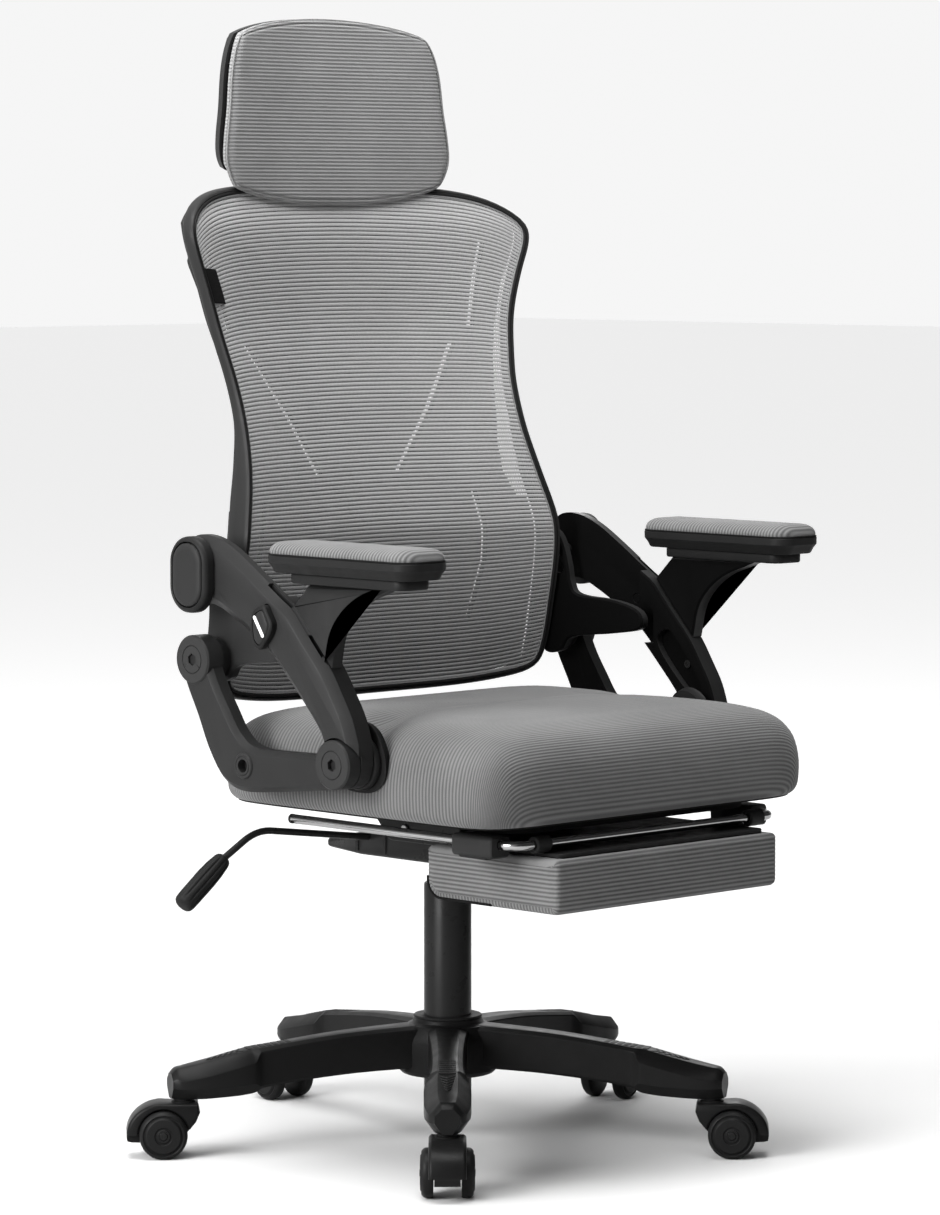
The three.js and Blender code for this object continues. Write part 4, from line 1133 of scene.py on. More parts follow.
def add_arm_beam():
    loop = np.concatenate(
        [curve2(BEAM_UNDER, 4), curve2(BEAM_FOOT, 5), curve2(BEAM_FRONT, 4)[:-1], curve2(BEAM_TOP, 4)]
    )
    stations = [
        (BEAM_IN, 1.5), (BEAM_IN + 1.5, 0), (BEAM_OUT - 8.4, 0), (BEAM_OUT - 7.8, 0.6), (BEAM_OUT - 0.8, 8.6),
        (BEAM_OUT, 10.0)
    ]
    ob = put(
        "arm_beam_left_shell", *plate(loop, stations), FRAME_GREY, "arm_left", ["arm_beam_left"],
        "frame_plastic", 35
    )
    upper = [(130, 560), (130, 700), (-40, 700), (-40, 590), (-60, 575), (-60, 540), (20, 540)]
    tools = [
        plate(upper, [(BEAM_IN - 10, 0), (SIDE_IN, 0)]),
        cylinder(FRONT_PIVOT, 27, 266.6, 292, 72),
        plate([(-126, 410), (-60, 410), (-60, 466), (-126, 466)], [(266.6, 0), (292, 0)]),
        cylinder(FRONT_PIVOT, 7.6, 200, 300, 36),
        cylinder(LINK_PIN, 6.6, 200, 300, 36),
        plate(button_loop(1.2), [(BEAM_OUT - 4.4, 0), (BEAM_OUT + 6, 0)]),
        cylinder(ARM_PIVOT, 5.7, 260, 276, 28),
        plate(
            curve2(
                [(-100, 540), (-82, 556), (-66, 548), (-74, 528), (-110, 492), (-126, 490), (-128, 502)], 5,
                True
            ),
            [(240, 0), (258, 0)]
        ),
    ]
    room = [(80, a) for a in range(96, 209, 8)] + [(16, a) for a in range(-152, 17, 14)]  # (radius, degrees)
    loop = [
        (ARM_PIVOT[0] + r * math.cos(math.radians(a)), ARM_PIVOT[1] + r * math.sin(math.radians(a))) for r,
        a in room
    ]
    tools.append(plate(loop, [(265.6, 0), (272.2, 0)]))
    cut_all(ob, *tools)
    finish_shading(ob.data, 32)
    # painted shade on the faces that look across to the other arm
    paint_inner_shade(ob)
    screw = disc(
        (-104, 520), [(0, 257.6), (4.2, 257.6), (4.2, 256.4), (2.4, 256.4), (2.2, 257.0), (0, 257.0)], n=24
    )
    put("beam_screw_left", *screw, DARK, "arm_left", (), "mechanism", 30)


def across(ring):
    """Rings from (outline, x) pairs of (y, z) outlines."""
    return [np.column_stack([np.full(len(p), x), p]) for p, x in ring]


def add_arm_buttons():
    rim = plate(
        button_loop(0.0),
        [(BEAM_OUT - 1, 0), (BEAM_OUT + 5.6, 0), (BEAM_OUT + 6.6, 0.8), (BEAM_OUT + 7.2, 2.0)]
    )
    ob = put(
        "linkage_button_left_cap", *rim, DARK, "linkage_button_left", ["linkage_button_left"],
        "black_plastic", 35
    )
    cut_all(ob, plate(button_loop(-4.6), [(BEAM_OUT + 4.4, 0), (BEAM_OUT + 12, 0)]))
    finish_shading(ob.data, 32)
    face = plate(
        button_loop(-5.4),
        [(BEAM_OUT + 4.6, 0), (BEAM_OUT + 6.8, 0), (BEAM_OUT + 7.6, 0.7), (BEAM_OUT + 8.0, 1.6)]
    )
    put("linkage_button_left_face", *face, FRAME_GREY, "linkage_button_left", (), "black_plastic", 35)
    # a white streak on the button's face at 56 degrees, a painted highlight of the glossy face
    lean = math.radians(56)
    c, s = math.cos(lean), math.sin(lean)
    bar = []
    for p, q in rounded(12.5, 2.0, 1.9, 0, 0, 5):
        bar.append((ARM_PIVOT[0] + 1.5 + p * c - q * s, ARM_PIVOT[1] + 1.0 + p * s + q * c))
    put(
        "linkage_button_left_mark",
        *plate(bar, [(BEAM_OUT + 7.6, 0), (BEAM_OUT + 8.2, 0), (BEAM_OUT + 8.5, 0.5)]), HIGHLIGHT_STREAK,
        "linkage_button_left", (), "black_plastic", 35
    )

    def oval(hy, hz, r):
        return rounded(hy, hz, r, LINK_PIN[0], LINK_PIN[1], 14)

    ring = [
        (oval(26, 38, 25), BEAM_OUT + 0.4), (oval(28, 39, 27), BEAM_OUT + 1.2),
        (oval(28.5, 39, 27.5), BEAM_OUT + 8)
    ]
    ring += [
        (oval(28, 38.6, 27), BEAM_OUT + 10.6), (oval(26, 37, 25), BEAM_OUT + 12.6),
        (oval(24, 35, 23), BEAM_OUT + 13.6)
    ]
    ring += [(oval(22.8, 33.6, 21.8), BEAM_OUT + 13), (oval(22.6, 33.4, 21.6), BEAM_OUT + 3.4)]
    head = put(
        "recline_pin_left_head", *loft(across(ring)), DARK, "arm_left", ["recline_pin_left"], "frame_plastic",
        40
    )
    join_all(head, cylinder(LINK_PIN, 6.2, 238, 282, 32))
    finish_shading(head.data, 40)
    pad = [
        (oval(20.6, 31.4, 19.8), BEAM_OUT + 7.4), (oval(21.6, 32.4, 20.8), BEAM_OUT + 8.4),
        (oval(21.6, 32.4, 20.8), BEAM_OUT + 12.4)
    ]
    pad += [
        (oval(20.8, 31.6, 20), BEAM_OUT + 13.8), (oval(19, 29.8, 18.2), BEAM_OUT + 14.8),
        (oval(14, 25, 13.4), BEAM_OUT + 15.2)
    ]
    put(
        "recline_button_left_cap", *loft(across(pad)), FRAME_GREY, "recline_button_left",
        ["recline_button_left"], "black_plastic", 50
    )


def add_arm_support():
    under = curve2([(-200, 633.6), (-182, 627), (-158, 618), (-136, 603), (-120, 582), (-112.5, 551)], 6)[:-1]
    root = [(-112, 549.6), (-85, 578.6), (-58, 608.6)]
    loop = np.concatenate([under, root, [(-60, 612), (-82, 633.6)]])
    stations = [
        (BEAM_IN + 5, 2.0), (BEAM_IN + 7, 0), (BEAM_OUT - 9, 0), (BEAM_OUT - 8.4, 0.6), (BEAM_OUT - 3.6, 5.0),
        (BEAM_OUT - 3, 6.0)
    ]
    ob = put(
        "arm_support_left_branch", *plate(loop, stations), FRAME_GREY, "arm_support_left",
        ["arm_support_left"], "frame_plastic", 35
    )
    tongue = [(-92, 581), (-41, 581), (-30, 575), (-14, 577), (-12, 592), (-26, 599), (-66, 610)]
    join_all(ob, plate(tongue, [(266.1, 0), (271.7, 0)]), cylinder(ARM_PIVOT, 5, 262.4, 274.1, 28))
    finish_shading(ob.data, 32)
    # painted shade on the faces that look across to the other arm
    paint_inner_shade(ob)


PAD_X, PAD_MID = 272.5, -150.0


def add_arm_pad():
    track = loft(
        plan_rings(
            PAD_X, -154.5, 22, 82.5, 12, [(634, 1.2), (635, 0.2), (635.6, 0), (642.6, 0), (643.6, 0.6)]
        )
    )
    put("pad_track_left_plate", *track, DARK, "arm_support_left", ["pad_track_left"], "black_plastic", 40)
    base = [(644, 7), (645.2, 5.6), (650, 3.2), (652.4, 1.2), (654, 0), (660.6, -0.2), (661.6, 0.6)]
    plate_ob = put(
        "pad_base_left_plate", *loft(plan_rings(PAD_X, PAD_MID, 32.5, 105, 20, base)), DARK, "arm_pad_left",
        ["pad_base_left"], "black_plastic", 35
    )
    slot = [(PAD_X + x, PAD_MID + y, z) for z in (643, 644.8) for x, y in rounded(5, 60, 4.8, 0, 0, 6)]
    n = len(slot) // 2
    cut_all(plate_ob, loft([slot[:n], slot[n:]]))
    finish_shading(plate_ob.data, 32)
    # upholstered top, crowned along and across, with a rolled edge
    rings = []
    levels = [
        (661.8, 1.6), (662.4, 0.7), (663.6, 0.1), (666, 0.2), (668.4, 1.2), (670.6, 3.0), (672.4, 5.6),
        (674, 9), (675, 13)
    ]
    levels += [(675.7, 18), (676.2, 23), (676.5, 27), (676.6, 30)]
    for z, d in levels:
        p = rounded(32 - d, 104 - d, max(20 - d, 0.8), PAD_X, PAD_MID, 24)
        dip = 1.2 * np.clip((z - 668) / 8, 0, 1) * (1 - smoothstep(60, 104, np.abs(p[:, 1] - PAD_MID)))
        rings.append(np.column_stack([p[:, 0], p[:, 1], z - dip]))
    verts, faces = loft(rings)
    rib = verts[:, 1] / 1000 + 0.12 * (verts[:, 2] - 676) / 1000
    pad = put(
        "arm_pad_left_top", verts, faces, PAD_KNIT, "arm_pad_left", ["arm_pad_left"], "pad_fabric", 60, rib
    )
    seam = [(x, y, 662.2) for x, y in rounded(32.2, 104.2, 20, PAD_X, PAD_MID, 16)]
    put("arm_pad_left_seam", *cord_loop(seam, 0.8), BLACK_CLOTH, "arm_pad_left", (), "pad_fabric", 60)


start = len(RECORDS)
add_seat_bracket()
add_recline_bracket()
add_arm_beam()
add_arm_buttons()
add_arm_support()
add_arm_pad()
mirror_to_right(RECORDS[start:])


# ---------- seat ----------
SEAT_MID, SEAT_HALF_X, SEAT_HALF_Y = -97.0, 240.0, 209.0
TOP_INSET, TOP_EDGE = 92, 497  # where the top's flat middle begins


seat_inset = profile(
    [(0, 14), (0.06, 7), (0.12, 2.6), (0.2, 0.4), (0.36, 0), (0.5, 3), (0.6, 8), (0.7, 17), (0.8, 32)]
    + [(0.9, 58), (1.0, TOP_INSET)]
)
seat_height = profile(
    [(0, 397.4), (0.06, 400), (0.12, 405), (0.2, 414), (0.36, 436), (0.5, 455), (0.6, 467), (0.7, 478)]
    + [(0.8, 486.5), (0.9, 493), (1.0, TOP_EDGE)]
)


def seat_outline(a, inset_by):
    """A superellipse, nearly a rectangle; a is the angle."""
    c, s = np.cos(a), np.sin(a)
    power = np.where(s > 0, 9.0, 10.0)
    x = (SEAT_HALF_X - inset_by) * np.sign(c) * np.abs(c) ** (2 / power)
    y = (SEAT_HALF_Y - inset_by) * np.sign(s) * np.abs(s) ** (2 / power)
    return x, SEAT_MID + y


def seat_side(t):
    """(inset, z) up the side and over the top, t from 0 to 1."""
    return seat_inset(t), seat_height(t)


def add_seat():
    around = 720
    # even steps along the outline
    fine = np.linspace(0, TAU, 20001)
    fx, fy = seat_outline(fine, 0.0)
    run = np.concatenate([[0], np.cumsum(np.hypot(np.diff(fx), np.diff(fy)))])
    a = np.interp(np.linspace(0, run[-1], around, endpoint=False), run, fine)
    rings, levels = [], []
    for t in np.concatenate([np.linspace(0, 0.2, 10)[:-1], np.linspace(0.2, 1.0, 58)]):
        d, z = seat_side(t)
        x, y = seat_outline(a, float(d))
        rings.append(np.column_stack([x, y, np.full(around, float(z))]))
        levels.append(t)
    # the flat of the top, drawn in towards the middle
    for share in np.linspace(0.95, 0.0, 40):
        x, y = seat_outline(a, float(TOP_INSET))
        x, y = x * max(share, 0.01), (y - SEAT_MID) * max(share, 0.01) + SEAT_MID
        z = TOP_EDGE + 4.0 * (1 - share**2)
        rings.append(np.column_stack([x, y, np.full(around, z)]))
        levels.append(1.0)
    p = np.array(rings)
    x, y, z = p[..., 0], p[..., 1], p[..., 2]
    # outward direction seen from above
    bx, by = seat_outline(a, 0.0)
    tx, ty = np.roll(bx, -1) - np.roll(bx, 1), np.roll(by, -1) - np.roll(by, 1)
    length = np.hypot(tx, ty)
    nx, ny = ty / length, -tx / length
    if (nx * bx + ny * (by - SEAT_MID)).mean() < 0:
        nx, ny = -nx, -ny
    level = np.array(levels)[:, None]
    side_face = 1 - smoothstep(0.45, 0.8, level)
    # soft hollows over the arm mounts, fading towards the middle
    reach = np.abs(x)
    waist = np.exp(-(((y + 108 + 0.25 * (reach - 240)) / 25) ** 2)) * smoothstep(95, 215, reach)
    z = z - 15.0 * waist * smoothstep(0.42, 0.85, level)
    pinch = np.exp(-(((y + 120) / 34) ** 2)) * np.exp(-(((z - 462) / 26) ** 2)) * (np.abs(nx)[None, :] > 0.8)
    x = x - np.sign(x) * 8.0 * pinch
    # a shallow dish for the sitter
    dish = np.exp(-((x / 120) ** 2)) * np.exp(-(((y + 40) / 90) ** 2)) * (level > 0.9)
    z = z - 5.0 * dish
    # ribs
    front = np.clip(-ny, 0, 1)[None, :] ** 2
    drop = 500.0 - z
    behind = np.clip(ny, 0, 1)[None, :] ** 2
    rib = -y + drop * (front - behind)
    wave = 0.5 + 0.5 * np.sin(rib / SEAT_RIB * TAU)
    amount = 0.32 * (0.35 + 0.65 * side_face) * smoothstep(0.08, 0.16, level)
    x = x + nx[None, :] * wave * amount * (level < 0.999)
    y = y + ny[None, :] * wave * amount * (level < 0.999)
    z = z + 0.14 * wave * (level >= 0.7)
    verts = np.stack([x, y, z], -1).reshape(-1, 3)
    faces = grid_faces(len(rings), around, False, True)
    faces.append(tuple(range(around))[::-1])
    faces.append(tuple((len(rings) - 1) * around + i for i in range(around)))
    seat = put(
        "seat_pad", verts, faces, SEAT_KNIT, "seat", ["seat_cushion"], "seat_knit", 70, rib.ravel() / 1000
    )
    # the sewn edge under the cushion, and the dark plates behind the side frames' bosses: a boot round each
    # front pivot, and a wider plate set into the cushion's side that is a painted shadow of the arm beam's
    # end
    x, y = seat_outline(a[::4], 9.0)
    put(
        "seat_welt", *cord_loop(list(zip(x, y, np.full(len(x), 399.6))), 1.6), BLACK_CLOTH, "seat", (),
        "seat_knit", 60
    )
    for k in (1, -1):
        shape = curve2(
            [
                (-126, 424), (-98, 428), (-92, 448), (-96, 470), (-106, 492), (-126, 497), (-146, 486),
                (-158, 462), (-158, 440), (-146, 428)
            ],
            6, True
        )
        # painted shadow: a dark plate on the cushion's side where the arm beam's end casts its shadow
        put(
            f"seat_side_recess_{side_name(k)}",
            *plate(shape, [(232, 3), (240.0, 1.2), (241.2, 0), (241.8, 0.6)], k), DARK, "seat", (),
            "frame_plastic", 40
        )
        put(
            f"seat_side_boot_{side_name(k)}",
            *disc(FRONT_PIVOT, [(0, 241), (26.5, 241), (28, 243), (28, 247), (26.5, 249), (0, 249)], k), DARK,
            "seat", (), "frame_plastic", 40
        )


# ---------- footrest ----------
RAIL_X, RAIL_Z, CROSSBAR_Y = 189, 380.0, -290


def footrest_section(n, low, high, middle, half):
    """n even (y, z) points of the block's side: crisp in front, rounded behind and below."""
    per_corner = 26
    front, rear = middle - half, middle + half
    corners = [
        (rear - 6, high - 6, 6), (front + 5, high - 5, 5), (front + 7, low + 7, 7), (rear - 20, low + 20, 20)
    ]
    points = []
    for quarter, (y, z, r) in enumerate(corners):
        for k in range(per_corner + 1):
            turn = math.pi / 2 * (quarter + k / per_corner)
            points.append((y + r * math.cos(turn), z + r * math.sin(turn)))
    points = np.array(points + points[:1])
    run = np.concatenate([[0], np.cumsum(np.hypot(*np.diff(points, axis=0).T))])
    even = np.linspace(0, run[-1], n, endpoint=False)
    return np.interp(even, run, points[:, 0]), np.interp(even, run, points[:, 1])


def add_footrest():
    half_x, half_y, middle, low, high = 162.0, 92.0, -227.0, 312.0, 366.3
    n = 420
    ys, zs = footrest_section(n, low, high, middle, half_y)
    centre = np.array([middle, (low + high) / 2])
    along_y = np.roll(ys, -1) - np.roll(ys, 1)
    along_z = np.roll(zs, -1) - np.roll(zs, 1)
    length = np.hypot(along_y, along_z) + 1e-9
    ny, nz = along_z / length, -along_y / length  # outward
    over, under, front = nz > 0.7, nz < -0.7, ny < -0.7
    phase = np.where(under, -ys, zs)

    def wave_of(z):
        return 0.5 + 0.5 * np.sin(np.asarray(z) / FOOT_RIB * TAU)

    # each end: flat closing rings drawn in towards its middle, then the rounded edge as (x, inset)
    caps = []
    for share in np.linspace(0.04, 0.97, 22):
        caps.append(
            (centre[0] + (ys - ny * 7.0 - centre[0]) * share, centre[1] + (zs - nz * 7.0 - centre[1]) * share)
        )
    edge = [(0.0, 7.0), (0.3, 4.6), (1.2, 2.4), (2.6, 1.0), (4.6, 0.2), (7, 0.0)]
    edge = [(x - half_x, d) for x, d in edge]
    inner = np.linspace(-half_x + 12, half_x - 12, 46)
    stations = edge + [(float(x), 0.0) for x in inner] + [(-x, d) for x, d in reversed(edge)]
    rings, rib = [], []
    for y, z in caps:
        rings.append(np.column_stack([-half_x - 0.35 * wave_of(z) - 0.8, y, z]))
        rib.append(z)
    for x, d in stations:
        swell = 1.6 * (1 - (x / half_x) ** 4)
        push = 0.5 * wave_of(phase) * np.where(over, 0.3, 1.0) - d
        bulge = np.where(front, swell * np.sin(np.clip((zs - low) / (high - low), 0, 1) * math.pi), 0) * 0.5
        across_under = np.clip((middle + half_y - ys) / (2 * half_y), 0, 1)
        bulge = bulge + np.where(under, swell * 0.6 * np.sin(across_under * math.pi), 0)
        out_z = np.where(over, -d, push + bulge)
        rings.append(np.column_stack([np.full(n, x), ys + ny * (push + bulge), zs + nz * out_z]))
        rib.append(phase)
    for y, z in reversed(caps):
        rings.append(np.column_stack([half_x + 0.35 * wave_of(z) + 0.8, y, z]))
        rib.append(z)
    verts, faces = loft(rings)
    rib = np.concatenate(rib) / 1000
    pad = put(
        "footrest_pad", verts, faces, FOOT_KNIT, "footrest", ["footrest_cushion"], "footrest_knit", 60, rib
    )
    # piping along both ends' lower edges
    near = [i for i in range(n) if zs[i] < low + 24 and ys[i] > middle]
    line = [(ys[i] - ny[i] * 1.6, zs[i] - nz[i] * 1.6) for i in near]
    line.sort(key=lambda q: math.atan2(q[1] - centre[1], q[0] - centre[0]))
    for k in (1, -1):
        path = [(k * (half_x - 0.9), y, z) for y, z in line]
        put(
            f"footrest_piping_{side_name(k)}", *pipe(path, 1.4, 8), BLACK_CLOTH, "footrest", (),
            "footrest_knit", 60
        )
    flap = plan_rings(0, -229, 150, 83, 8, [(366.7, 0.8), (367.5, 0), (370.2, 0), (371, 0.8)])
    put("footrest_flap_board", *loft(flap), DARK, "footrest", ["footrest_flap"], "frame_plastic", 40)
    put("footrest_hinge_eyes", *tube_parts(), DARK, "footrest", (), "frame_plastic", 40)


def tube_parts():
    """The flap's two eyes on the rail's crossbar."""
    return merge(*[ring_tube(5.1, 8.4, x, x + 20, (CROSSBAR_Y, RAIL_Z)) for x in (-166, 146)])


def add_rails():
    corner = 18.0
    path = []
    for k in (-1, 1):
        arc = []
        for i in range(13):
            a = math.pi / 2 * i / 12
            arc.append(
                (
                    k * (RAIL_X - corner + corner * math.cos(a)), CROSSBAR_Y + corner - corner * math.sin(a),
                    RAIL_Z
                )
            )
        leg = [(k * RAIL_X, 33.0, RAIL_Z), (k * RAIL_X, -100.0, RAIL_Z)] + arc
        path += leg if k < 0 else leg[::-1]
    put("footrest_rail_tube", *pipe(path, 4.8, 28), CHROME, "footrest_frame", ["footrest_rail"], "chrome", 60)
    for k in (-1, 1):
        x = k * RAIL_X
        plug = turned([(0, 0), (4.2, 0), (5.0, 0.8), (5.0, 3.6), (0, 3.6)], (x, 32.4, RAIL_Z), (0, 1, 0), 28)
        put(f"rail_end_plug_{side_name(k)}", *plug, DARK, "footrest_frame", (), "chrome", 40)
        loop = rounded(14, 11, 5, x, 377.6, 8)
        stations = [(-268, 1.6), (-266.6, 0.3), (-265.6, 0), (-214.4, 0), (-213.4, 0.3), (-212, 1.6)]
        rings = [[(px, y, pz) for px, pz in inset(loop, d)] for y, d in stations]
        guide = put(
            f"footrest_guide_{side_name(k)}_block", *loft(rings), FRAME_GREY, "seat",
            [f"footrest_guide_{side_name(k)}"], "black_plastic", 35
        )
        cut_all(guide, turned([(0, -40), (5.2, -40), (5.2, 40), (0, 40)], (x, -240, RAIL_Z), (0, 1, 0), 36))
        finish_shading(guide.data, 35)
        ring0 = rounded(12.2, 20, 3, x, -240, 5)
        slab = loft(
            [[(px, py, zz) for px, py in inset(ring0, d)] for zz, d in ((365.2, 1.4), (366.4, 0), (368, 0))]
        )
        put(f"footrest_guide_{side_name(k)}_foot", *slab, DARK, "seat", (), "black_plastic", 40)
    tongue = loft(plan_rings(-18, -262, 11, 7, 3, [(390.2, 0.4), (391.6, 0.0), (394.0, 0.4)]))
    put("latch_tongue", *tongue, ZINC, "seat", (), "chrome", 40)


# ---------- mechanism ----------
TILT_AXIS, KNOB_Y = (-25, 365), -79


def add_mechanism():
    loop = rounded_corners(
        anticlockwise([(-60, 330), (60, 330), (110, 334), (110, 343), (-45, 376), (-95, 376), (-95, 345)]), 5,
        4
    )
    ob = put(
        "tilt_housing_shell",
        *plate(loop, [(-72, 3.2), (-70.4, 1.2), (-68.6, 0), (68.6, 0), (70.4, 1.2), (72, 3.2)]), STEEL_BLACK,
        "mechanism", ["tilt_housing"], "mechanism", 35
    )
    cut_all(
        ob, turned([(0, -8), (8, -8), (8, 60), (0, 60)], (0, KNOB_Y, 296), (0, 0, 1), 28),
        cylinder(TILT_AXIS, 5.4, -100, 100, 24)
    )
    # folded ribs on both sides
    ribs = []
    for k in (-1, 1):
        for y in (-70, 20, 62):
            top = 366 - max(0, y + 45) * 0.2
            side = [(y - 2, 334), (y + 2, 334), (y + 2, top), (y - 2, top)]
            ribs.append(loft([[(k * x, yy, zz) for yy, zz in side] for x in (70, 73.2)]))
    put("tilt_housing_ribs", *merge(*ribs), STEEL_BLACK, "mechanism", (), "mechanism", 30)
    put("lift_socket_collar", *ring_z(14.6, 26, 326.4, 330.4), STEEL_BLACK, "mechanism", (), "mechanism", 35)
    pan = loft(plan_rings(0, 0, 100, 120, 12, [(382, 0.9), (382.9, 0), (387.8, 0), (388.6, 0.8)]))
    pan_ob = put("seat_pan_plate", *pan, STEEL_BLACK, "seat", ["seat_pan"], "pan_steel", 35)
    for x0, x1 in ((-85, -79), (79, 85)):
        flange = rounded_corners(anticlockwise([(-105, 384), (-105, 352), (0, 352), (30, 384)]), 4, 4)
        join_all(pan_ob, plate(flange, [(x0, 0.8), (x0 + 0.8, 0), (x1 - 0.8, 0), (x1, 0.8)]))
    cut_all(pan_ob, cylinder(TILT_AXIS, 5.4, -100, 100, 24))
    finish_shading(pan_ob.data, 35)
    for i, (x, y) in enumerate([(-88, -104), (88, -104), (-88, 104), (88, 104)]):
        bolt = turned(
            [(0, 377.6), (5.4, 377.6), (6.2, 378.4), (6.2, 382.2), (0, 382.2)], (x, y, 0), (0, 0, 1), 6
        )
        put(f"pan_bolt_{i + 1}", *bolt, ZINC, "seat", (), "pan_steel", 25)
    pin = disc(TILT_AXIS, [(0, -88), (4.2, -88), (5, -87.2), (5, 87.2), (4.2, 88), (0, 88)], n=28)
    put("tilt_pin_rod", *pin, ZINC, "mechanism", ["tilt_pin"], "mechanism", 40)
    # (radius, z, depth of the flutes)
    knob_profile = [
        (1, 302.6, 0), (17, 302.2, 0), (19.6, 302.8, 0.2), (21.4, 304.6, 1), (22, 307, 1), (22, 321.6, 1)
    ]
    knob_profile += [(21, 323.4, 0.8), (17, 327, 0), (7, 328, 0), (6, 329, 0), (6, 344.3, 0)]
    knob, n, flutes = [], 72, 18
    for r, z, flute in knob_profile:
        ring = []
        for i in range(n):
            a = TAU * i / n
            rr = r - flute * 1.1 * (0.5 + 0.5 * math.cos(flutes * a))
            ring.append((rr * math.cos(a), KNOB_Y + rr * math.sin(a), z))
        knob.append(ring)
    put("tension_knob_grip", *loft(knob), DARK, "tension_knob", ["tension_knob"], "black_plastic", 35)
    board = loft(plan_rings(0, -100, 180, 175, 40, [(389, 1.0), (390, 0), (395.6, 0), (396.6, 1.0)]))
    put("seat_board_panel", *board, BLACK_CLOTH, "seat", ["seat_board"], "board", 40)
    staples = []
    for i in range(64):
        c, s = math.cos(TAU * i / 64), math.sin(TAU * i / 64)
        x = 166 * math.copysign(abs(c) ** 0.35, c)
        y = 160 * math.copysign(abs(s) ** 0.35, s) - 100
        staples.append(pipe([(x - 4 * s, y + 4 * c, 388.7), (x + 4 * s, y - 4 * c, 388.7)], 0.5, 6))
    put("seat_board_staples", *merge(*staples), ZINC, "seat", (), "board", 40)


def add_lever():
    root, knee, end, tip = [
        Vector((x, 45, z)) for x, z in ((-73, 350), (-229, 371), (-274, 346), (-331, 303))
    ]
    path = [root]
    for i in range(11):
        t = i / 10
        a, b = knee.lerp(root, 0.13), knee.lerp(end, 0.4)
        path.append(a * (1 - t) ** 2 + knee * 2 * t * (1 - t) + b * t**2)
    path.append(end)
    put("lever_rod_bar", *pipe(path, 3.6, 20), STEEL_BLACK, "lever", ["lever_rod"], "mechanism", 60)
    along = (tip - end).normalized()
    length = (tip - end).length
    start = end + along * 0.3
    u = along.cross(Vector((0, 1, 0))).normalized()
    v = along.cross(u)
    # (distance along the grip, radius, depth of the grooves)
    grip = [(0, 4.4, 0), (0.6, 6.8, 0), (2, 8.2, 0), (5, 9.2, 0.2), (10, 10, 1), (18, 10.9, 1), (30, 11.5, 1)]
    grip += [(length - 12, 11.3, 1), (length - 6, 11, 0.3), (length - 2.5, 10.2, 0), (length - 0.8, 8.6, 0)]
    grip.append((length, 6, 0))
    rings, n = [], 60
    for h, r, groove in grip:
        ring = []
        for i in range(n):
            a = TAU * i / n
            rr = r - groove * 1.3 * max(0.0, math.cos(10 * a)) ** 2
            ring.append(tuple(start + along * h + (u * math.cos(a) + v * math.sin(a)) * rr))
        rings.append(ring)
    put("lever_grip_sleeve", *loft(rings), RUBBER, "lever", ["lever_grip"], "soft_grip", 35)


# ---------- base and castors ----------
BASE_TURN, LEGS, STEM = -134.4, 5, 288.0
CASTOR_DIRECTIONS = [-134.4, -48, 16, 84, 140]
AXLE = (21, 25)  # behind the stem, above the floor


def leg_part():
    half = profile([(30, 21), (120, 16.5), (206, 17), (217, 23), (262, 23.5), (284, 21), (302, 15)])
    low = profile([(30, 108), (120, 104), (206, 95), (217, 90), (262, 87), (292, 87), (302, 87.4)])
    high = profile(
        [
            (30, 152), (120, 146.5), (206, 136.5), (217, 135.2), (262, 125), (290, 119.4), (297, 118),
            (302, 113)
        ]
    )
    rings = []
    tip = [293, 296, 298.5, 300.5, 301.6, 302]
    for x in np.concatenate(
        [np.linspace(30, 204, 22), np.linspace(207, 219, 7), np.linspace(224, 290, 16), tip]
    ):
        w, lo, hi = float(half(x)), float(low(x)), float(high(x))
        end = smoothstep(292, 302, x)
        foot = smoothstep(208, 217, x)
        w -= 2.0 * end
        top = lerp(0.62, 0.42, foot) * w
        bevel = lerp(4.5, 13.0, foot) * (1 - 0.4 * end)
        low_bevel = lerp(2.0, 8.0, foot)
        right = [(w - low_bevel, lo), (w, lo + 1.4 * low_bevel), (w, hi - bevel), (w - 0.7, hi - bevel + 1.2)]
        right += [(top + 0.7, hi - 0.5), (top - 0.4, hi)]
        rings.append([(x, y, z) for y, z in right] + [(x, -y, z) for y, z in reversed(right)])
    return loft(rings)


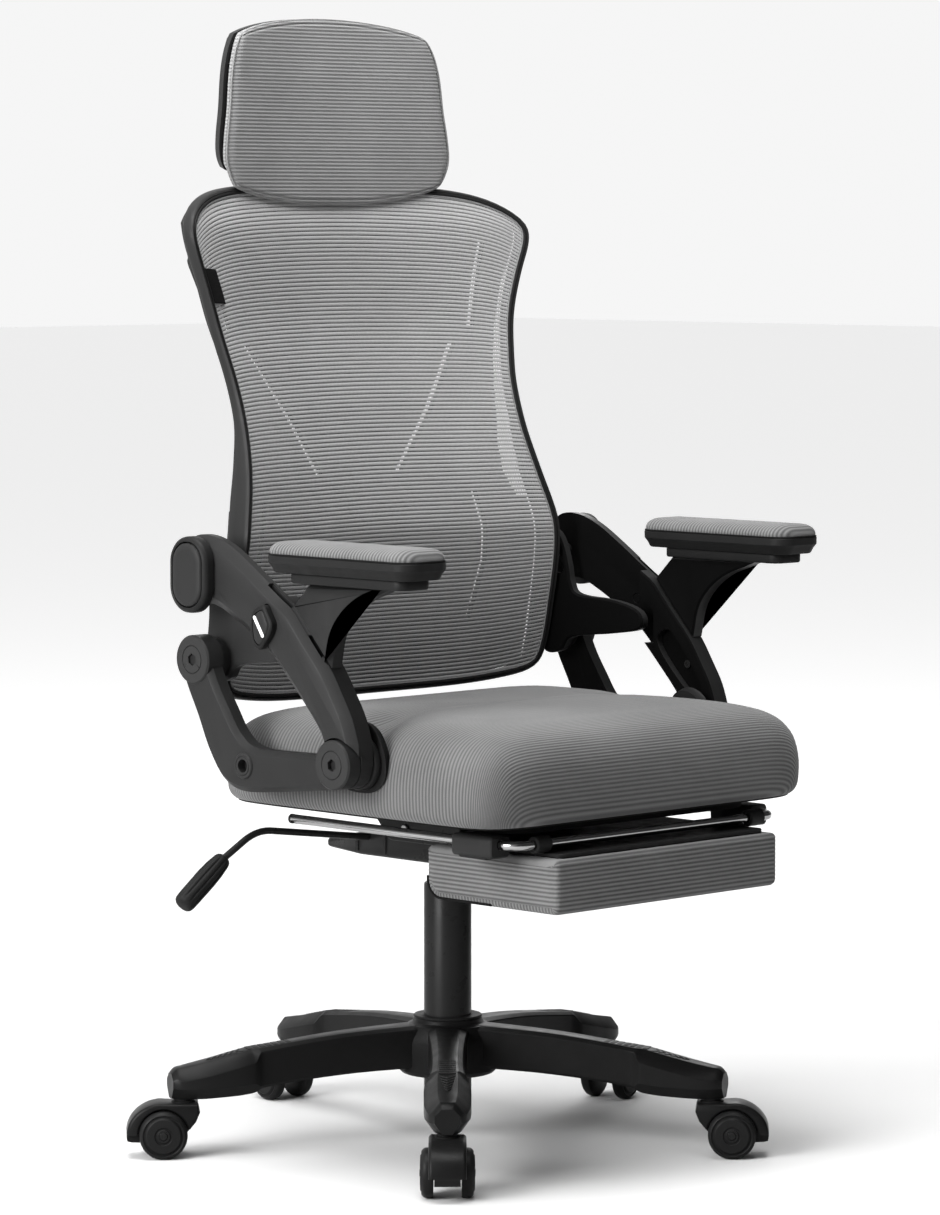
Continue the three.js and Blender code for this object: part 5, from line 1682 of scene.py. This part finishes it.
def add_base():
    hub_rings, n = [], 120
    turn = math.radians(BASE_TURN)
    # (radius, z, how much the ring follows the hub's five flats)
    hub = [
        (26, 98.5, 0), (44, 98, 0.4), (47, 99.5, 0.8), (50, 103, 1), (50.5, 110, 1), (50.5, 134, 1),
        (49, 139, 0.9)
    ]
    hub += [
        (45, 147.5, 0.5), (42.5, 150.5, 0.2), (38.5, 152, 0), (37, 153.2, 0), (36.5, 156.6, 0), (35.2, 158, 0)
    ]
    hub.append((26, 158, 0))
    for r, z, facet in hub:
        ring = []
        for i in range(n):
            a = TAU * i / n
            local = (a - turn - math.pi / 5) % (TAU / 5)
            local = min(local, TAU / 5 - local)
            flat = 1 / max(math.cos(min(local, 0.5)), 0.8)
            rr = r * lerp(1, min(flat, 1.08) * 0.965, facet)
            ring.append((rr * math.cos(a), rr * math.sin(a), z))
        hub_rings.append(ring)
    ob = put("star_base_body", *loft(hub_rings), NYLON, "base", ["star_base"], "nylon", 32)
    join_all(ob, *[turned_about_z(leg_part(), BASE_TURN + 72 * i) for i in range(LEGS)])
    cut_all(ob, loft([[(x, y, z) for x, y in circle(25.4, 48)] for z in (60, 200)]))
    finish_shading(ob.data, 28)
    treads = []
    for i in range(LEGS):
        # raised slats across the leg's sloping top, then chevrons on the foot's slope
        parts = []
        for x in np.arange(176, 219, 7.0):
            z = 146.5 - (x - 120) * 0.1163 if x < 206 else 136.4 - (x - 206) * 0.11
            parts.append(slat(x, 2.2, 8.6, z - 0.6, z + 0.5, -0.115))
        parts += [chevron(226 + 6.4 * j, 8.2 - 0.9 * j) for j in range(6)]
        treads += [turned_about_z(part, BASE_TURN + 72 * i) for part in parts]
    put("star_base_treads", *merge(*treads), DARK, "base", (), "nylon", 30)


def slat(x, half, w, z0, z1, slope):
    side = [(-w, z0), (w, z0), (w, z1 - 0.2), (w - 0.4, z1), (-w + 0.4, z1), (-w, z1 - 0.2)]
    return loft([[(x + dx, y, z + slope * dx) for y, z in side] for dx in (-half, half)])


def chevron(x, w):
    """A V-shaped raised bar on the foot's slope, pointing along the leg."""
    rings = []
    for y in np.linspace(-w, w, 9):
        xx = x + 4.76 * (1 - abs(y) / w)
        z = 135.2 - (xx - 217) * 0.228
        rings.append(
            [(xx + dx, y, z + dz) for dx, dz in ((-1.4, -1.2), (1.4, -1.2), (1.0, 0.55), (-1.0, 0.55))]
        )
    return loft(rings)


def add_column():
    tube_profile = [(14.6, 77), (24, 76), (25, 77), (25, 298), (24.2, 299.6), (23, 300), (14.6, 300)]
    rings = [[(x, y, z) for x, y in circle(r, 72)] for r, z in tube_profile]
    put(
        "gas_lift_tube_shell", *loft(rings, closed=True), STEEL_BLACK, "base", ["gas_lift_tube"],
        "tube_paint", 35
    )
    put("gas_lift_bush", *ring_z(14.5, 22, 299.6, 303.4, 56), DARK, "base", (), "tube_paint", 35)
    put("gas_lift_cap", *ring_z(25.05, 36, 157.6, 160.2, 64), DARK, "base", (), "tube_paint", 35)
    piston = turned(
        [(0, 90), (13.2, 90), (14, 91), (14, 328.8), (13.2, 329.6), (0, 329.6)], (0, 0, 0), (0, 0, 1), 56
    )
    put("gas_lift_piston_rod", *piston, CHROME, "lift", ["gas_lift_piston"], "chrome", 40)


def castor_place(i):
    turn_by = math.radians(BASE_TURN + 72 * i)
    return STEM * math.cos(turn_by), STEM * math.sin(turn_by), FLOOR


def wheel_part(side):
    shape = [
        (4.6, 14.2), (23.6, 14), (24.6, 14.6), (25, 15.8), (25, 21.6), (24.4, 23.4), (22.8, 25.2),
        (21.6, 26.0), (20.6, 25.2), (19.4, 25.1)
    ]
    shape += [(18.6, 26.2), (17.2, 27.2), (9.5, 27.5), (8.6, 26.6), (7.4, 26.6), (6.4, 27.5), (4.6, 27.5)]
    rings = [[(x, side * y, z) for x, z in circle(r, 72, *AXLE)] for r, y in shape]
    return loft(rings, closed=True)


def fender_loop(grow):
    pts = [
        (-15 - grow, 57), (-17 - grow, 48), (-13 - grow, 38), (2, 20 - grow), (30, 16 - grow), (54, 17 - grow)
    ]
    arc = [
        (21 + (38 + grow) * math.cos(math.radians(a)), 25 + (33 + grow) * math.sin(math.radians(a)))
        for a in np.linspace(-12, 84, 22)
    ]
    return np.array(pts + arc + [(12, 57)])


def add_castors():
    for i, heading in enumerate(CASTOR_DIRECTIONS):

        def placed(part, where=(heading, castor_place(i))):
            return turned_about_z(part, *where)

        name = f"caster_body_{i + 1}"
        loop = anticlockwise(fender_loop(0.0))
        hood = [
            (-19, 3.0), (-18, 1.2), (-16.4, 0.2), (-15.6, 0), (15.6, 0), (16.4, 0.2), (18, 1.2), (19, 3.0)
        ]
        rings = [[(x, y, z) for x, z in (inset(loop, d) if d else loop)] for y, d in hood]
        ob = put(f"{name}_hood", *placed(loft(rings)), NYLON, f"caster_{i + 1}", [name], "nylon", 35)
        rooms = []
        for outline in (circle(27.5, 60, *AXLE), [(-30, -5), (80, -5), (80, 25), (-30, 25)]):
            rooms += [loft([[(x, side * y, z) for x, z in outline] for y in (13, 40)]) for side in (1, -1)]
        cut_all(ob, *[placed(room) for room in rooms])
        finish_shading(ob.data, 35)
        axle = pipe([(21, -24, 25), (21, 24, 25)], 4.0, 20)
        put(f"caster_axle_{i + 1}", *placed(axle), ZINC, f"caster_{i + 1}", (), "nylon", 40)
        neck = turned(
            [
                (0, 55), (11.5, 55), (12.5, 56), (12.5, 57.6), (11, 58.4), (9.4, 58.6), (9.4, 59.4),
                (10.6, 59.8), (10.6, 60.4), (0, 60.7)
            ],
            (0, 0, 0), (0, 0, 1), 40
        )
        put(f"caster_neck_{i + 1}", *placed(neck), DARK, f"caster_{i + 1}", (), "nylon", 35)
        for w, side in (("a", 1), ("b", -1)):
            part = placed(wheel_part(side))
            put(
                f"caster_wheel_{w}_{i + 1}_tyre", *part, TYRE, f"wheel_{i + 1}{w}",
                [f"caster_wheel_{w}_{i + 1}"], "tyre", 32
            )
            cap = turned(
                [(0, 25), (4.2, 25), (4.2, 27.2), (3.4, 27.9), (0, 28.0)], (21, 0, 25), (0, side, 0), 24
            )
            put(f"caster_cap_{w}_{i + 1}", *placed(cap), DARK, f"wheel_{i + 1}{w}", (), "tyre", 35)


add_seat()
add_footrest()
add_rails()
add_mechanism()
add_lever()
add_base()
add_column()
add_castors()


# ---------- floor, light and camera ----------
def aim(ob, target):
    ob.rotation_mode = "QUATERNION"
    ob.rotation_quaternion = (Vector(target) - ob.location).to_track_quat("-Z", "Y")


def area_light(name, place, target, size, watts):
    data = bpy.data.lights.new(name, "AREA")
    data.shape = "RECTANGLE"
    data.size, data.size_y = size
    data.energy = watts
    ob = bpy.data.objects.new(name, data)
    ob.location = place
    bpy.context.scene.collection.objects.link(ob)
    aim(ob, target)
    return ob


def add_studio():
    me = bpy.data.meshes.new("studio_floor")
    me.from_pydata([(-30, -30, 0), (30, -30, 0), (30, 30, 0), (-30, 30, 0)], [], [(0, 1, 2, 3)])
    m, t, s = new_material("studio_floor_paint")
    coords = t.nodes.new("ShaderNodeTexCoord")
    reach = t.nodes.new("ShaderNodeVectorMath")
    reach.operation = "LENGTH"
    t.links.new(coords.outputs["Object"], reach.inputs[0])
    far = math_node(t, "MULTIPLY", reach.outputs["Value"], 0.25)
    far = math_node(t, "ADD", far, math_node(t, "MULTIPLY", noise_of(t, 3.0, 2.0), 0.02))
    t.links.new(ramp(t, far, [(0.25, 0.5), (0.9, 0.9)]), s.inputs["Base Color"])
    s.inputs["Emission Color"].default_value = (1, 1, 1, 1)
    t.links.new(ramp(t, far, [(0.25, 0.0), (0.9, 0.36)]), s.inputs["Emission Strength"])
    s.inputs["Roughness"].default_value = 0.9
    s.inputs["Specular IOR Level"].default_value = 0.1
    me.materials.append(m)
    floor = bpy.data.objects.new("studio_floor", me)
    bpy.context.scene.collection.objects.link(floor)
    world = bpy.data.worlds.new("studio")
    world.use_nodes = True
    tree = world.node_tree
    back = tree.nodes["Background"]
    # the studio is darker on the side the camera stands on
    coords = tree.nodes.new("ShaderNodeTexCoord")
    toward = tree.nodes.new("ShaderNodeVectorMath")
    toward.operation = "DOT_PRODUCT"
    toward.inputs[1].default_value = (0.45, -0.89, 0.0)
    tree.links.new(coords.outputs["Generated"], toward.inputs[0])
    share = math_node(tree, "MULTIPLY_ADD", toward.outputs["Value"], 0.5, 0.5)
    glow = ramp(tree, share, [(0.36, 0.92), (0.7, 0.08)])
    mix = tree.nodes.new("ShaderNodeMix")
    mix.data_type = "RGBA"
    rays = tree.nodes.new("ShaderNodeLightPath")
    tree.links.new(rays.outputs["Is Camera Ray"], mix.inputs["Factor"])
    tree.links.new(glow, mix.inputs["A"])
    mix.inputs["B"].default_value = (0.92, 0.92, 0.92, 1)
    tree.links.new(mix.outputs["Result"], back.inputs[0])
    back.inputs[1].default_value = 1.0
    bpy.context.scene.world = world
    sx, sy, _ = SHIFT
    middle = (sx, sy, 0.55)
    area_light("key_left", (sx - 2.7, sy + 0.1, 1.35), middle, (1.5, 1.5), 150)
    area_light("top_soft", (sx - 0.4, sy - 0.2, 3.0), middle, (2.0, 2.0), 165)
    area_light("rim_right", (sx + 2.4, sy + 1.8, 2.0), (sx, sy, 0.7), (0.8, 1.6), 18)


def add_camera():
    data = bpy.data.cameras.new("camera")
    data.sensor_width = 36
    data.lens = 146.03
    data.clip_start, data.clip_end = 0.1, 100
    ob = bpy.data.objects.new("camera", data)
    ob.location = (SHIFT[0] - 3.593, SHIFT[1] - 3.675, 0.9707)
    turn, tip = math.radians(44.615), math.radians(4.5356)
    look = Vector((math.sin(turn) * math.cos(tip), math.cos(turn) * math.cos(tip), -math.sin(tip)))
    ob.rotation_mode = "QUATERNION"
    ob.rotation_quaternion = look.to_track_quat("-Z", "Y")
    bpy.context.scene.collection.objects.link(ob)
    bpy.context.scene.camera = ob


add_studio()
add_camera()
bpy.context.scene.view_settings.view_transform = "Standard"
